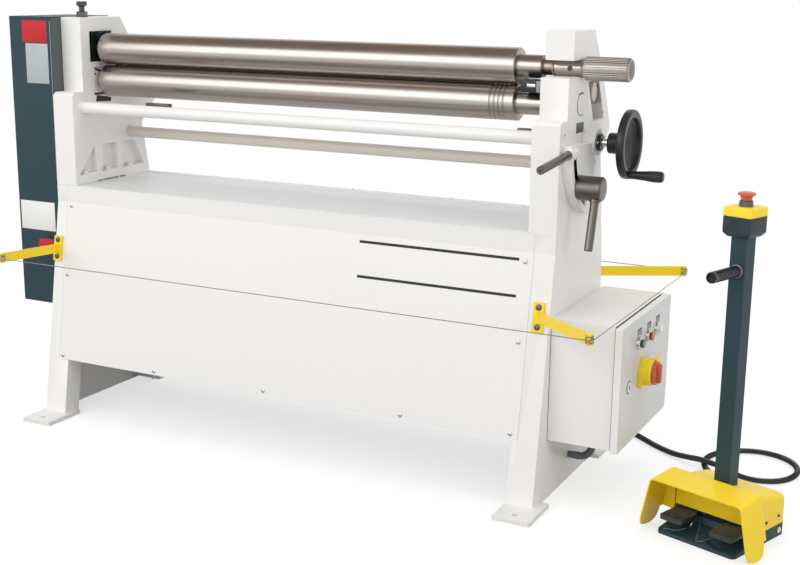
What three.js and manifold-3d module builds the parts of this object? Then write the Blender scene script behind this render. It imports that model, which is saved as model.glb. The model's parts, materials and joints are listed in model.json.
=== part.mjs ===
// A powered plate rolling machine: two pinch rolls and a bending roll between cast side frames,
// on a folded steel stand, with a gear motor, a switch cabinet, a trip wire and a foot pedestal.
// Millimetres, +Z up, +X along the rolls towards the handle end, the operator stands at -Y.
// The machine is laid out with X = 0 at the middle of the rolls, Y = 0 on the top roll's axis
// and Z = 0 on the floor, and the whole group is then moved to stand centred on its origin.

import * as THREE from "three";
import { mergeVertices } from "three/addons/utils/BufferGeometryUtils.js";
import Module from "manifold-3d";

const wasm = await Module();
wasm.setup();

// Driving sizes

const fit = {
  clearance: 0.3, // between pieces that touch or turn in each other
  overrun: 6, // how far a cut runs past the face it opens
  weld: 1, // how deep welded pieces run into each other
  slide: 1.5, // side play of a sliding block
};

const sides = { roll: 32, shaft: 24, small: 16, tiny: 10 };

const roll = {
  diameter: 90,
  length: 1300,
  pinchGap: 1.5,
  axisRise: 390, // over the frames' foot
  edgeChamfer: 2,
  shoulderStep: 3.5, // from the journal out to the shoulder
  journalDiameter: 50,
  rearShort: 5, // how far each of its ends stands back
  rearBack: 107.7,
  rearDrop: 64.6,
};

const groove = { count: 4, inset: 66, pitch: 12, width: 5, depth: 2.5 };

const frame = {
  thickness: 72,
  leftGap: 20, // from the rolls' ends to the frames
  rightGap: 88,
  foot: 680,
  headRise: 90, // over the top roll's axis
  headHalf: 90,
  jawSetBack: 62,
  stepDepth: 137,
  stepHeight: 260,
  stepRound: 9,
  rearReach: 242,
  rearOutlineShares: [
    [0.364, 1],
    [0.545, 0.871],
    [0.835, 0.635],
    [1, 0.469],
    [0.901, 0.419],
    [0.723, 0.333],
    [0.839, 0.0375],
    [0.839, 0],
  ],
};

const pocket = {
  depth: 22,
  low: 28,
  high: 110,
  // each pocket's corners along the frame, as shares of its step depth, and of the pocket's height
  cornerShares: [
    [[-0.87, 0], [-0.36, 1], [-0.29, 0.04]],
    [[-0.14, 0], [-0.1, 0.94], [0, 1], [0.33, 1], [0.39, 0.94], [0.42, 0.05]],
    [[0.54, 0], [0.58, 0.94], [0.66, 1], [0.94, 1], [1.02, 0.92], [1.3, 0.05]],
  ],
};

// Walls are round the journal's seat
const swivel = { sideWall: 18, topWall: 25, footWall: 12, frontSwing: 9, rearSwing: 3.5 };

const lowerBlock = { sideWall: 15, topWall: 11, drop: 6, rise: 1.2, pocketWall: 20 };

const rearSlide = {
  sideWall: 12,
  topWall: 4,
  travel: 48,
  leanShare: 0.444, // sine of the slide's lean from upright
};

const sleeve = { diameter: 40, bore: 24, inset: 5, neckReach: 25 };

const handle = {
  diameter: 58,
  length: 121.5,
  flutes: 24,
  fluteDepth: 1.6,
  fluteShares: [[0, 0], [0.5, 0], [0.75, 1]], // of a flute's pitch, and of its depth
  chamfer: 5,
  swingGap: 3.5,
};

const rollRest = { length: 62, front: 60, rear: 15, topGap: 2.5, footGap: 3 };

const clampScrew = {
  back: 38,
  diameter: 16,
  nutAcross: 32,
  nutHeight: 16,
  neck: 16,
  head: 30,
  headHeight: 12,
};

const tieRod = {
  frontDiameter: 34,
  frontBack: -95,
  frontDrop: 165,
  rearDiameter: 32,
  rearBack: 115,
  rearDrop: 254,
};

const stand = {
  skin: 6,
  frontKneeDrop: 50, // under the frames' foot
  frontFoot: 233,
  rearTop: 203,
  rearKneeReach: 225,
  rearKneeDrop: 100,
  rearFoot: 249,
  footHeight: 12,
  skirtGap: 2,
  returnWidth: 60,
};

const footPlate = {
  width: 98,
  reach: 87,
  length: 135,
  holeDiameter: 16,
  holeInset: 32,
  leftShift: 2,
  rightShift: 13,
};

const panel = {
  sheet: 3,
  leftInset: 37,
  rightInset: 55,
  bottom: 171,
  lip: 20,
  rearLip: 42,
  topSheet: 4,
  railWidth: 12,
  railHeight: 5,
};

const gearCover = { width: 152, rear: 122, topRise: 1, footDrop: 136, wall: 3, lap: 28 };

const drive = {
  shaftDrop: 230, // under the frames' foot
  shaftBack: 30,
  gearboxSize: 160,
  gearboxLength: 135,
  motorDiameter: 170,
  motorLength: 270,
  shaftDiameter: 30,
  rollSprocket: 145,
  rollTeeth: 30,
  motorSprocket: 80,
  motorTeeth: 15,
  toothDepth: 5,
  tipShare: 0.5, // of a tooth's pitch
  sprocketWidth: 12,
  sprocketReach: 73,
  chainThickness: 6,
};

const pinchLever = {
  pivotBack: 57,
  pivotDrop: 184,
  thickness: 24.7,
  rim: 178,
  rimStartAngle: 178,
  rimEndAngle: 270,
  bossDiameter: 68,
  bossHeight: 7,
  slotInset: 23.8, // from the rim to the slot's middle line
  slotWidth: 20,
  slotStartAngle: 190,
  slotEndAngle: 246,
  barAngle: 184.4,
  barDiameter: 20,
  barLength: 205,
  barPlace: 16,
  lugDiameter: 28,
  lugLength: 42,
};

const clampLever = {
  hubDiameter: 60,
  hubLength: 63,
  chamfer: 3,
  studAngle: 219.5,
  studDiameter: 16,
  studDepth: 30,
  barDiameter: 21,
  barLength: 152,
  barLeanAngle: 15.5,
  barPlace: 45,
};

const wheel = {
  diameter: 172,
  rimWidth: 20,
  rimDepth: 20,
  dish: 13,
  web: 7,
  rimReach: 41, // from the hub's start to the rim
  hubDiameter: 42,
  hubGap: 22.7, // from the collar to the hub
  shaftDiameter: 20,
  shaftDepth: 30,
  collarDiameter: 38,
  collarLength: 5,
  crankBack: -22,
  crankDrop: 72,
  gripDiameter: 28,
  gripLength: 86,
  gripProfileShares: [[0.7, 0], [0.72, 0.2], [1, 0.66], [0.86, 0.95], [0.7, 1]], // radius, length
  spindleDiameter: 10,
  spindleDepth: 12,
};

const cabinet = {
  width: 162,
  front: 147,
  rear: 248,
  topDrop: 204, // under the frames' foot
  height: 314,
  wall: 3,
  doorGap: 2,
  doorDepth: 18,
  doorFrontReach: 5, // past the box
  doorRearReach: 14,
  doorFootReach: 5,
  doorTopInset: 4,
  hingeRadius: 5,
  hingeArm: 10,
};

const button = {
  drop: 65, // under the door's top
  greenBack: -20,
  pitch: 79,
  bezelDiameter: 30,
  bezelLength: 8,
  capDiameter: 23,
  capLength: 5,
  travel: 4,
  stemDiameter: 14,
  stemLength: 22,
  lampLength: 8,
};

const isolator = {
  back: 24,
  drop: 84, // under the buttons
  plateWidth: 66,
  plateHeight: 72,
  plateThickness: 12,
  drumDiameter: 68,
  drumLength: 20,
  tabReach: 116,
  tabRise: 38,
  tabHeight: 26,
  tabThickness: 4,
  knobDiameter: 60,
  knobLength: 20,
  knobGrip: 16,
  spindleDiameter: 10,
};

const conduit = { back: 22, reach: 64, diameter: 22, drop: 60, bend: 34, steps: 6 };

const arm = {
  height: 26,
  thickness: 6,
  bracketHeight: 72,
  bracketWidth: 28,
  tipDiameter: 16,
  leftRootInset: 13,
  rightRootInset: 28,
  frontLeftDrop: 186, // drops are under the frames' foot
  frontRightDrop: 202,
  rearDrop: 162,
  tipDrop: 172,
  tipReach: 395,
  leftTipInset: 17,
  rightTipReach: 180,
};

const wire = { diameter: 3, cornerSteps: 4 };

const pedestal = { reach: 401, y: -232, turnAngle: -19 };

const pedalBase = {
  sideMargin: 7, // beside the pedals
  depth: 213,
  lip: 8,
  slopeTop: 22,
  shelfLead: 12, // before the pedals' pins
  shelfStep: 4,
  height: 36,
};

const guard = {
  wall: 3,
  hoodFlare: 12, // from the cover out to the hood
  flapFlare: 29,
  front: -6,
  hoodDepth: 80,
  frontHeight: 129,
  rearHeight: 141,
  footGap: 6,
  coverReach: 2, // past the base
  coverHeight: 119,
  footLengthShare: 0.62,
};

const pedal = {
  width: 62,
  offset: 36,
  front: -2,
  length: 98,
  height: 38,
  thickness: 12,
  noseShare: 1 / 3, // of the thickness
  barrelRadius: 7,
  pinDiameter: 6,
  earWidth: 5,
};

const post = { size: 41, back: 121, top: 718, wall: 3 };

const stopStation = {
  size: 72,
  boxHeight: 47,
  lidHeight: 21,
  wall: 3,
  collarDiameter: 32,
  collarHeight: 13,
  neckDiameter: 24,
  headDiameter: 41,
  headHeight: 15,
  stemDiameter: 12,
  stemLength: 30,
  travel: 5,
};

const grip = { drop: 78, diameter: 27, length: 106, rings: 7, ringDepth: 1.2, crestShare: 0.5 };

const hose = {
  diameter: 16,
  valley: 6.6,
  bore: 5.2,
  ribs: 165,
  ribsPerBoreRing: 5,
  valleyShare: 0.3, // of a rib's pitch
  crestShare: 0.75,
  steepShare: 0.5, // a run rising less than this is level enough to turn its rings upright
  uprightShare: 0.1, // how much of that turn one ring takes
  ringPoints: 8,
  glandDiameter: 24,
  glandLength: 28,
  glandInset: 38,
  machineGlandY: 216,
  pedestalGlandX: -70,
  pedestalGlandZ: 13,
};

// The pedal hose from the machine's gland to the pedestal's, chosen by hand along the floor

const hoseRoute = [
  [700, 216, 142.7],
  [700, 216, 126],
  [700, 217.5, 104],
  [700.4, 224, 76],
  [701.2, 238, 48],
  [702.6, 260, 24],
  [704.6, 290, 11],
  [707.5, 322, 8.3],
  [713, 355, 8.3],
  [726, 388, 8.3],
  [747, 415, 8.3],
  [776, 434, 8.3],
  [810, 441, 8.3],
  [843, 435, 8.3],
  [873, 419, 8.3],
  [905, 394, 8.3],
  [955, 353, 8.5],
  [1013, 313, 11],
  [1062, 283, 19],
  [1098, 264, 25.2],
  [1126, 253, 26],
  [1156, 244, 24],
  [1192, 235, 15],
  [1230, 229, 9.5],
  [1266, 230, 8.3],
  [1300, 244, 8.3],
  [1326, 271, 8.3],
  [1340, 307, 8.3],
  [1342, 345, 8.3],
  [1330, 384, 8.3],
  [1304, 418, 8.3],
  [1266, 440, 8.3],
  [1224, 446, 8.3],
  [1182, 435, 8.3],
  [1145, 410, 8.3],
  [1118, 376, 8.3],
  [1104, 336, 8.3],
  [1105, 292, 8.3],
  [1120, 250, 8.3],
  [1148, 210, 8.3],
  [1184, 172, 8.4],
  [1212, 136, 9.3],
  [1229, 99, 11],
  [1235, 64, 12.5],
  [1227.9, 32, 13],
  [1222.7, 16.9, 13],
];

// Finishes

function finish(color, roughness, metalness) {
  return new THREE.MeshStandardMaterial({ color, roughness, metalness });
}

const paint = {
  white: finish(0xe9e7e4, 0.45, 0),
  grey: finish(0xd0d5d5, 0.5, 0),
  teal: finish(0x3c5057, 0.5, 0),
  yellow: finish(0xf0c832, 0.45, 0),
  cream: finish(0xc8c3b4, 0.5, 0),
  steel: finish(0x9a9188, 0.35, 1),
  darkSteel: finish(0x6a625c, 0.4, 1),
  castIron: finish(0x5b5a58, 0.6, 1),
  bronze: finish(0x8c7a66, 0.45, 1),
  black: finish(0x2c3133, 0.5, 0),
  rubber: finish(0x26292b, 0.8, 0),
  red: finish(0xc04a38, 0.4, 0),
  green: finish(0x2d7a62, 0.4, 0),
  lens: finish(0xf2f2ee, 0.3, 0),
};

// Solids

// A closed geometry as a solid that can be cut and joined.
function solidOf(geometry) {
  const bare = geometry.clone();
  bare.deleteAttribute("normal");
  bare.deleteAttribute("uv");
  const merged = mergeVertices(bare, 1e-4);
  return new wasm.Manifold(
    new wasm.Mesh({
      numProp: 3,
      vertProperties: new Float32Array(merged.attributes.position.array),
      triVerts: new Uint32Array(merged.index.array),
    }),
  );
}

function geometryOf(solid) {
  const mesh = solid.getMesh();
  const geometry = new THREE.BufferGeometry();
  geometry.setAttribute("position", new THREE.BufferAttribute(new Float32Array(mesh.vertProperties), 3));
  geometry.setIndex(new THREE.BufferAttribute(new Uint32Array(mesh.triVerts), 1));
  geometry.computeVertexNormals();
  return geometry;
}

function join(first, ...rest) {
  let solid = solidOf(first);
  for (const piece of rest) solid = solid.add(solidOf(piece));
  return geometryOf(solid);
}

function cut(body, ...tools) {
  let solid = solidOf(body);
  for (const tool of tools) solid = solid.subtract(solidOf(tool));
  return geometryOf(solid);
}

// A block between two corners.
function block(low, high) {
  const size = high.map((value, axis) => value - low[axis]);
  const geometry = new THREE.BoxGeometry(...size);
  geometry.translate(...low.map((value, axis) => value + size[axis] / 2));
  return geometry;
}

const unit = {
  x: new THREE.Vector3(1, 0, 0),
  y: new THREE.Vector3(0, 1, 0),
  z: new THREE.Vector3(0, 0, 1),
};

// The turns that carry +Z to +X and to +Y
const towards = {
  x: new THREE.Matrix4().makeBasis(unit.y, unit.z, unit.x),
  y: new THREE.Matrix4().makeBasis(unit.z, unit.x, unit.y),
};

// Turns a geometry made along +Z so that its +Z points along the named axis.
function along(geometry, axis) {
  if (axis !== "z") geometry.applyMatrix4(towards[axis]);
  return geometry;
}

// A turned piece: its profile is a list of [radius, place along the axis] that starts and ends on
// the axis, or closes on itself for a ring.
function turned(profile, axis, centre, count) {
  const points = profile.map(([radius, place]) => new THREE.Vector2(radius, place));
  const geometry = new THREE.LatheGeometry(points, count);
  geometry.rotateX(Math.PI / 2);
  along(geometry, axis);
  geometry.translate(...centre);
  return geometry;
}

// A plain rod from a point along an axis.
function rod(axis, from, length, diameter, count) {
  const radius = diameter / 2;
  return turned([[0, 0], [radius, 0], [radius, length], [0, length]], axis, from, count);
}

function outline(points) {
  return new THREE.Shape(points.map(([a, b]) => new THREE.Vector2(a, b)));
}

// A plate with its outline in Y and Z, from x = start to x = end.
function plateAcross(points, start, end) {
  const geometry = new THREE.ExtrudeGeometry(outline(points), { depth: end - start, bevelEnabled: false });
  along(geometry, "x");
  geometry.translate(start, 0, 0);
  return geometry;
}

// A rod between two points.
function rodBetween(from, to, diameter, count) {
  const start = new THREE.Vector3(...from);
  const way = new THREE.Vector3(...to).sub(start);
  const geometry = new THREE.CylinderGeometry(diameter / 2, diameter / 2, way.length(), count);
  const turn = new THREE.Quaternion().setFromUnitVectors(new THREE.Vector3(0, 1, 0), way.clone().normalize());
  geometry.applyQuaternion(turn);
  geometry.translate(...start.addScaledVector(way, 0.5).toArray());
  return geometry;
}

function arc(centreA, centreB, radius, fromDegrees, toDegrees, steps) {
  const points = [];
  for (let step = 0; step <= steps; step += 1) {
    const angle = THREE.MathUtils.degToRad(fromDegrees + ((toDegrees - fromDegrees) * step) / steps);
    points.push([centreA + radius * Math.cos(angle), centreB + radius * Math.sin(angle)]);
  }
  return points;
}

const machine = new THREE.Group();

function add(name, geometry, material, group = machine) {
  const mesh = new THREE.Mesh(geometry, material);
  mesh.name = name;
  group.add(mesh);
  return mesh;
}

// Places that several pieces share

const axisHeight = frame.foot + roll.axisRise;
const lowerAxis = axisHeight - roll.diameter - roll.pinchGap;
const rearAxis = { y: roll.rearBack, z: axisHeight - roll.rearDrop };
const lean = Math.asin(rearSlide.leanShare);
const frameHeight = roll.axisRise + frame.headRise;
const frameTop = frame.foot + frameHeight;
const halfRoll = roll.length / 2;
const leftInner = -halfRoll - frame.leftGap;
const frameLeft = leftInner - frame.thickness;
const frameRight = halfRoll + frame.rightGap;
const rightFace = frameRight + frame.thickness;
const frontKnee = frame.foot - stand.frontKneeDrop;
const rearKnee = frame.foot - stand.rearKneeDrop;
const panelLeft = frameLeft + panel.leftInset;
const panelRight = rightFace - panel.rightInset;

const sleeveStart = frameRight + sleeve.inset;
const neckStart = frameRight - sleeve.neckReach;
const sleeveEnd = rightFace + handle.swingGap;
const journalRadius = roll.journalDiameter / 2;
const shoulderRadius = journalRadius + roll.shoulderStep;
const swivelHalf = journalRadius + swivel.sideWall;
const swivelTop = axisHeight + journalRadius + swivel.topWall;
const swivelFoot = axisHeight - journalRadius - swivel.footWall;
const lowerBlockHalf = journalRadius + lowerBlock.sideWall;
const lowerBlockHeight = roll.journalDiameter + 2 * lowerBlock.topWall;
const rearSlideWidth = roll.journalDiameter + 2 * rearSlide.sideWall;
const rearSlideHeight = roll.journalDiameter + 2 * rearSlide.topWall;

const coverLeft = frameLeft - gearCover.width;
const coverTop = frameTop + gearCover.topRise;
const shaftHeight = frame.foot - drive.shaftDrop;
const coverFoot = shaftHeight - gearCover.footDrop;
const sprocketStart = frameLeft - drive.sprocketReach;

const cabinetFace = rightFace + cabinet.width;
const cabinetTop = frame.foot - cabinet.topDrop;
const cabinetFoot = cabinetTop - cabinet.height;
const doorFront = cabinet.front + cabinet.doorFrontReach;
const doorRear = cabinet.rear + cabinet.doorRearReach;
const doorTop = cabinetTop - cabinet.doorTopInset;
const doorFoot = cabinetFoot - cabinet.doorFootReach;
const buttonHeight = doorTop - button.drop;
const isolatorHeight = buttonHeight - isolator.drop;
const conduitPlace = rightFace + conduit.reach;

const leftRoot = frameLeft + arm.leftRootInset;
const rightRoot = rightFace - arm.rightRootInset;
const leftTip = frameLeft + arm.leftTipInset;
const rightTip = rightFace + arm.rightTipReach;
const tipHeight = frame.foot - arm.tipDrop;

// The rear slide's outline between two heights: leaning sides, drawn in by an inset, and level ends.
function slideOutline(low, high, inset) {
  const half = (rearSlideWidth / 2 - inset) / Math.cos(lean);
  const back = (height) => rearAxis.y - (height - rearAxis.z) * Math.tan(lean);
  return [
    [back(low) - half, low],
    [back(low) + half, low],
    [back(high) + half, high],
    [back(high) - half, high],
  ];
}

// Rolls

function topRoll() {
  const body = roll.diameter / 2;
  const shoulder = shoulderRadius;
  const journal = roll.journalDiameter / 2;
  const neck = sleeve.diameter / 2 - fit.clearance;
  const spigot = sleeve.bore / 2;
  const profile = [
    [0, frameLeft - sleeve.bore / 2],
    [journal, frameLeft - sleeve.bore / 2],
    [journal, leftInner + fit.slide],
    [shoulder, leftInner + fit.slide],
    [shoulder, -halfRoll],
    [body - roll.edgeChamfer, -halfRoll],
    [body, -halfRoll + roll.edgeChamfer],
    [body, halfRoll - roll.edgeChamfer],
    [body - roll.edgeChamfer, halfRoll],
    [shoulder, halfRoll],
    [shoulder, neckStart],
    [neck, neckStart],
    [neck, sleeveStart - fit.clearance],
    [spigot, sleeveStart - fit.clearance],
    [spigot, sleeveEnd - spigot],
    [0, sleeveEnd - spigot],
  ];
  add("top_roll", turned(profile, "x", [0, 0, axisHeight], sides.roll), paint.steel);
}

function bottomRoll() {
  const body = roll.diameter / 2;
  const shoulder = shoulderRadius;
  const journal = roll.journalDiameter / 2;
  const seat = sleeve.diameter / 2;
  const leftEnd = sprocketStart - fit.overrun;
  const profile = [
    [0, leftEnd],
    [seat, leftEnd],
    [seat, frameLeft - fit.slide],
    [journal, frameLeft - fit.slide],
    [journal, leftInner + fit.slide],
    [shoulder, leftInner + fit.slide],
    [shoulder, -halfRoll],
    [body - roll.edgeChamfer, -halfRoll],
    [body, -halfRoll + roll.edgeChamfer],
  ];
  for (let index = 0; index < groove.count; index += 1) {
    const place = halfRoll - groove.inset + groove.pitch * index;
    profile.push(
      [body, place],
      [body - groove.depth, place + groove.width / 2],
      [body, place + groove.width],
    );
  }
  profile.push(
    [body, halfRoll - roll.edgeChamfer],
    [body - roll.edgeChamfer, halfRoll],
    [shoulder, halfRoll],
    [shoulder, frameRight - fit.slide],
    [journal, frameRight - fit.slide],
    [journal, rightFace - lowerBlock.pocketWall - fit.slide],
    [0, rightFace - lowerBlock.pocketWall - fit.slide],
  );
  add("bottom_roll", turned(profile, "x", [0, 0, lowerAxis], sides.roll), paint.steel);
}

function rearRoll() {
  const body = roll.diameter / 2;
  const journal = roll.journalDiameter / 2;
  const half = halfRoll - roll.rearShort;
  const profile = [
    [0, frameLeft + fit.slide],
    [journal, frameLeft + fit.slide],
    [journal, -half],
    [body - roll.edgeChamfer, -half],
    [body, -half + roll.edgeChamfer],
    [body, half - roll.edgeChamfer],
    [body - roll.edgeChamfer, half],
    [journal, half],
    [journal, rightFace - fit.slide],
    [0, rightFace - fit.slide],
  ];
  add("rear_roll", turned(profile, "x", [0, rearAxis.y, rearAxis.z], sides.roll), paint.steel);
}

// Bearings, sleeve, handle and clamp screw

function bearings() {
  const bore = roll.journalDiameter + 2 * fit.clearance;
  const boreThrough = (x, y, z) =>
    rod("x", [x - fit.overrun, y, z], frame.thickness + 2 * fit.overrun, bore, sides.shaft);
  const swivelBlock = block(
    [frameLeft + fit.clearance, -swivelHalf, swivelFoot + fit.clearance],
    [leftInner - fit.clearance, swivelHalf, swivelTop - fit.clearance],
  );
  add("swivel_bearing", cut(swivelBlock, boreThrough(frameLeft, 0, axisHeight)), paint.black);

  const lowerFoot = lowerAxis - lowerBlockHeight / 2;
  const lowerHalf = lowerBlockHalf - 2 * fit.clearance;
  for (const [name, start, end] of [
    ["lower_left_bearing", frameLeft + fit.clearance, leftInner - fit.clearance],
    ["lower_right_bearing", frameRight + fit.clearance, rightFace - lowerBlock.pocketWall - fit.clearance],
  ]) {
    const body = block([start, -lowerHalf, lowerFoot], [end, lowerHalf, lowerFoot + lowerBlockHeight]);
    add(name, cut(body, boreThrough(start, 0, lowerAxis)), paint.white);
  }

  for (const [name, start] of [
    ["rear_left_bearing", frameLeft],
    ["rear_right_bearing", frameRight],
  ]) {
    const half = rearSlideHeight / 2;
    const body = plateAcross(
      slideOutline(rearAxis.z - half, rearAxis.z + half, fit.clearance),
      start + fit.clearance,
      start + frame.thickness - fit.clearance,
    );
    add(name, cut(body, boreThrough(start, rearAxis.y, rearAxis.z)), paint.bronze);
  }
}

function endSleeve() {
  const length = sleeveEnd - sleeveStart;
  const body = rod("x", [sleeveStart, 0, axisHeight], length, sleeve.diameter, sides.shaft);
  const bore = rod(
    "x",
    [sleeveStart - fit.overrun, 0, axisHeight],
    length - sleeve.bore / 2 + fit.overrun + fit.clearance,
    sleeve.bore + 2 * fit.clearance,
    sides.shaft,
  );
  add("end_sleeve", cut(body, bore), paint.steel);
}

function releaseHandle() {
  const radius = handle.diameter / 2;
  const points = [];
  for (let index = 0; index < handle.flutes; index += 1) {
    const step = (2 * Math.PI) / handle.flutes;
    for (const [pitch, depth] of handle.fluteShares) {
      const angle = step * (index + pitch);
      const reach = radius - depth * handle.fluteDepth;
      points.push([reach * Math.cos(angle), reach * Math.sin(angle)]);
    }
  }
  const core = plateAcross(points, sleeveEnd, sleeveEnd + handle.length);
  core.translate(0, 0, axisHeight);
  const tip = radius - handle.chamfer;
  const envelope = turned(
    [
      [0, 0],
      [tip, 0],
      [radius + fit.weld, handle.chamfer + fit.weld],
      [radius + fit.weld, handle.length - handle.chamfer - fit.weld],
      [tip, handle.length],
      [0, handle.length],
    ],
    "x",
    [sleeveEnd, 0, axisHeight],
    sides.shaft,
  );
  add("release_handle", geometryOf(solidOf(core).intersect(solidOf(envelope))), paint.steel);
}

function clampScrewPiece() {
  const foot = swivelTop + fit.clearance;
  const nutFoot = frameTop + fit.clearance - foot;
  const nutTop = nutFoot + clampScrew.nutHeight;
  const headFoot = nutTop + clampScrew.neck;
  const headTop = headFoot + clampScrew.headHeight;
  const shank = clampScrew.diameter / 2;
  const nut = clampScrew.nutAcross / 2;
  const head = clampScrew.head / 2;
  const profile = [
    [0, 0],
    [shank, 0],
    [shank, nutFoot],
    [nut, nutFoot],
    [nut, nutTop],
    [shank, nutTop],
    [shank, headFoot],
    [head, headFoot],
    [head, headTop],
    [0, headTop],
  ];
  const place = [frameLeft + frame.thickness / 2, -clampScrew.back, foot];
  add("clamp_screw", turned(profile, "z", place, sides.small), paint.darkSteel);
}

// The rest that carries the top roll's free end while its bearing is open.
function rollRestPiece() {
  const end = frameRight - fit.clearance;
  const rest = block(
    [end - rollRest.length, -rollRest.front, lowerAxis + shoulderRadius + rollRest.footGap],
    [end, rollRest.rear, axisHeight - shoulderRadius - rollRest.topGap],
  );
  add("roll_end_rest", rest, paint.black);
}

// Side frames

function frameOutline(headFront) {
  const step = frame.foot + frame.stepHeight;
  const points = [
    [-frame.stepDepth, frame.foot],
    [-frame.stepDepth, step],
    [-frame.stepDepth + frame.stepRound, step + frame.stepRound],
    [-headFront, step + frame.stepRound],
    [-headFront, frameTop],
  ];
  for (const [back, up] of frame.rearOutlineShares) {
    points.push([back * frame.rearReach, frame.foot + up * frameHeight]);
  }
  return points.reverse();
}

// The slot that a rear bearing slides down, which leans back as it drops.
function rearSlideSlot(start, end) {
  const half = rearSlideHeight / 2 + fit.clearance;
  const drop = rearSlide.travel * Math.cos(lean);
  return plateAcross(slideOutline(rearAxis.z - half - drop, rearAxis.z + half, 0), start, end);
}

// The three bolt pockets at a frame's foot, cut from the face at x towards the side given.
function footPockets(face, side) {
  const height = pocket.high - pocket.low;
  const ends = [face - side * fit.overrun, face + side * pocket.depth].sort((a, b) => a - b);
  return pocket.cornerShares.map((corners) => {
    const points = corners.map(([back, up]) => [
      back * frame.stepDepth,
      frame.foot + pocket.low + up * height,
    ]);
    return plateAcross(points.reverse(), ...ends);
  });
}

function lowerWindow(start, end) {
  const foot = lowerAxis - lowerBlockHeight / 2 - lowerBlock.drop - fit.clearance;
  const top = lowerAxis + lowerBlockHeight / 2 + lowerBlock.rise + fit.clearance;
  return block([start, -lowerBlockHalf, foot], [end, lowerBlockHalf, top]);
}

function sideFrames() {
  const past = fit.overrun;
  const left = plateAcross(frameOutline(frame.headHalf), frameLeft, leftInner);
  const swivelWindow = block(
    [frameLeft - past, -swivelHalf - swivel.frontSwing, swivelFoot],
    [leftInner + past, swivelHalf + swivel.rearSwing, swivelTop],
  );
  const screwHole = rod(
    "z",
    [frameLeft + frame.thickness / 2, -clampScrew.back, axisHeight],
    frameHeight,
    clampScrew.diameter + 2 * fit.clearance,
    sides.small,
  );
  const leftFrame = cut(
    left,
    swivelWindow,
    screwHole,
    lowerWindow(frameLeft - past, leftInner + past),
    rearSlideSlot(frameLeft - past, leftInner + past),
    ...footPockets(leftInner, -1),
  );
  add("left_side_frame", leftFrame, paint.white);

  const slotHalf = sleeve.diameter / 2 + fit.clearance;
  const right = plateAcross(frameOutline(frame.headHalf), frameRight, rightFace);
  const jaw = block(
    [frameRight - past, -frame.headHalf - past, axisHeight - slotHalf],
    [rightFace + past, 0, axisHeight + slotHalf],
  );
  const jawEnd = rod(
    "x",
    [frameRight - past, 0, axisHeight],
    frame.thickness + 2 * past,
    2 * slotHalf,
    sides.shaft,
  );
  const setBack = block(
    [frameRight - past, -frame.headHalf - past, axisHeight],
    [rightFace + past, -frame.jawSetBack, frameTop + past],
  );
  const wheelAxis = [
    rightFace - wheel.shaftDepth,
    pinchLever.pivotBack,
    axisHeight - pinchLever.pivotDrop,
  ];
  const wheelHole = rod(
    "x",
    wheelAxis,
    wheel.shaftDepth + past,
    wheel.shaftDiameter + 2 * fit.clearance,
    sides.small,
  );
  const stud = clampStudPlace();
  const studHole = rod(
    "x",
    [rightFace - clampLever.studDepth - fit.clearance, stud.y, stud.z],
    clampLever.studDepth + past,
    clampLever.studDiameter + 2 * fit.clearance,
    sides.small,
  );
  const rightFrame = cut(
    right,
    jaw,
    jawEnd,
    setBack,
    wheelHole,
    studHole,
    lowerWindow(frameRight - past, rightFace - lowerBlock.pocketWall),
    rearSlideSlot(frameRight - past, rightFace + past),
    ...footPockets(frameRight, 1),
  );
  add("right_side_frame", rightFrame, paint.white);

  const rodLength = frameRight - leftInner;
  const frontRod = [leftInner, tieRod.frontBack, axisHeight - tieRod.frontDrop];
  add("front_tie_rod", rod("x", frontRod, rodLength, tieRod.frontDiameter, sides.shaft), paint.white);
  const rearRod = [leftInner, tieRod.rearBack, axisHeight - tieRod.rearDrop];
  add("rear_tie_rod", rod("x", rearRod, rodLength, tieRod.rearDiameter, sides.shaft), paint.cream);
}

// Stand

// How far the stand's front face stands forward at a height.
function frontReach(height) {
  const share = Math.max(0, frontKnee - height) / (frontKnee - stand.footHeight);
  return frame.stepDepth + share * (stand.frontFoot - frame.stepDepth);
}

// How far the stand's rear face stands back at a height.
function rearReach(height) {
  if (height > rearKnee) {
    const share = (frame.foot - height) / (frame.foot - rearKnee);
    return stand.rearTop + share * (stand.rearKneeReach - stand.rearTop);
  }
  const share = (rearKnee - height) / (rearKnee - stand.footHeight);
  return stand.rearKneeReach + share * (stand.rearFoot - stand.rearKneeReach);
}

// The stand's outline seen along X, drawn in by an inset.
function standOutline(bottom, top, inset) {
  return [
    [-frontReach(bottom) + inset, bottom],
    [rearReach(bottom) - inset, bottom],
    [rearReach(rearKnee) - inset, rearKnee],
    [rearReach(top) - inset, top],
    [-frontReach(top) + inset, top],
    [-frontReach(frontKnee) + inset, frontKnee],
  ];
}

function footPlates(middle) {
  const plates = [];
  for (const [side, reach] of [[-1, stand.frontFoot], [1, stand.rearFoot]]) {
    const outer = side * (reach + footPlate.reach);
    const inner = outer - side * footPlate.length;
    const hole = outer - side * footPlate.holeInset;
    const low = [middle - footPlate.width / 2, Math.min(outer, inner), 0];
    const high = [middle + footPlate.width / 2, Math.max(outer, inner), stand.footHeight];
    const drill = rod(
      "z",
      [middle, hole, -fit.overrun],
      stand.footHeight + 2 * fit.overrun,
      footPlate.holeDiameter,
      sides.small,
    );
    plates.push(cut(block(low, high), drill));
  }
  return plates;
}

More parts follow.
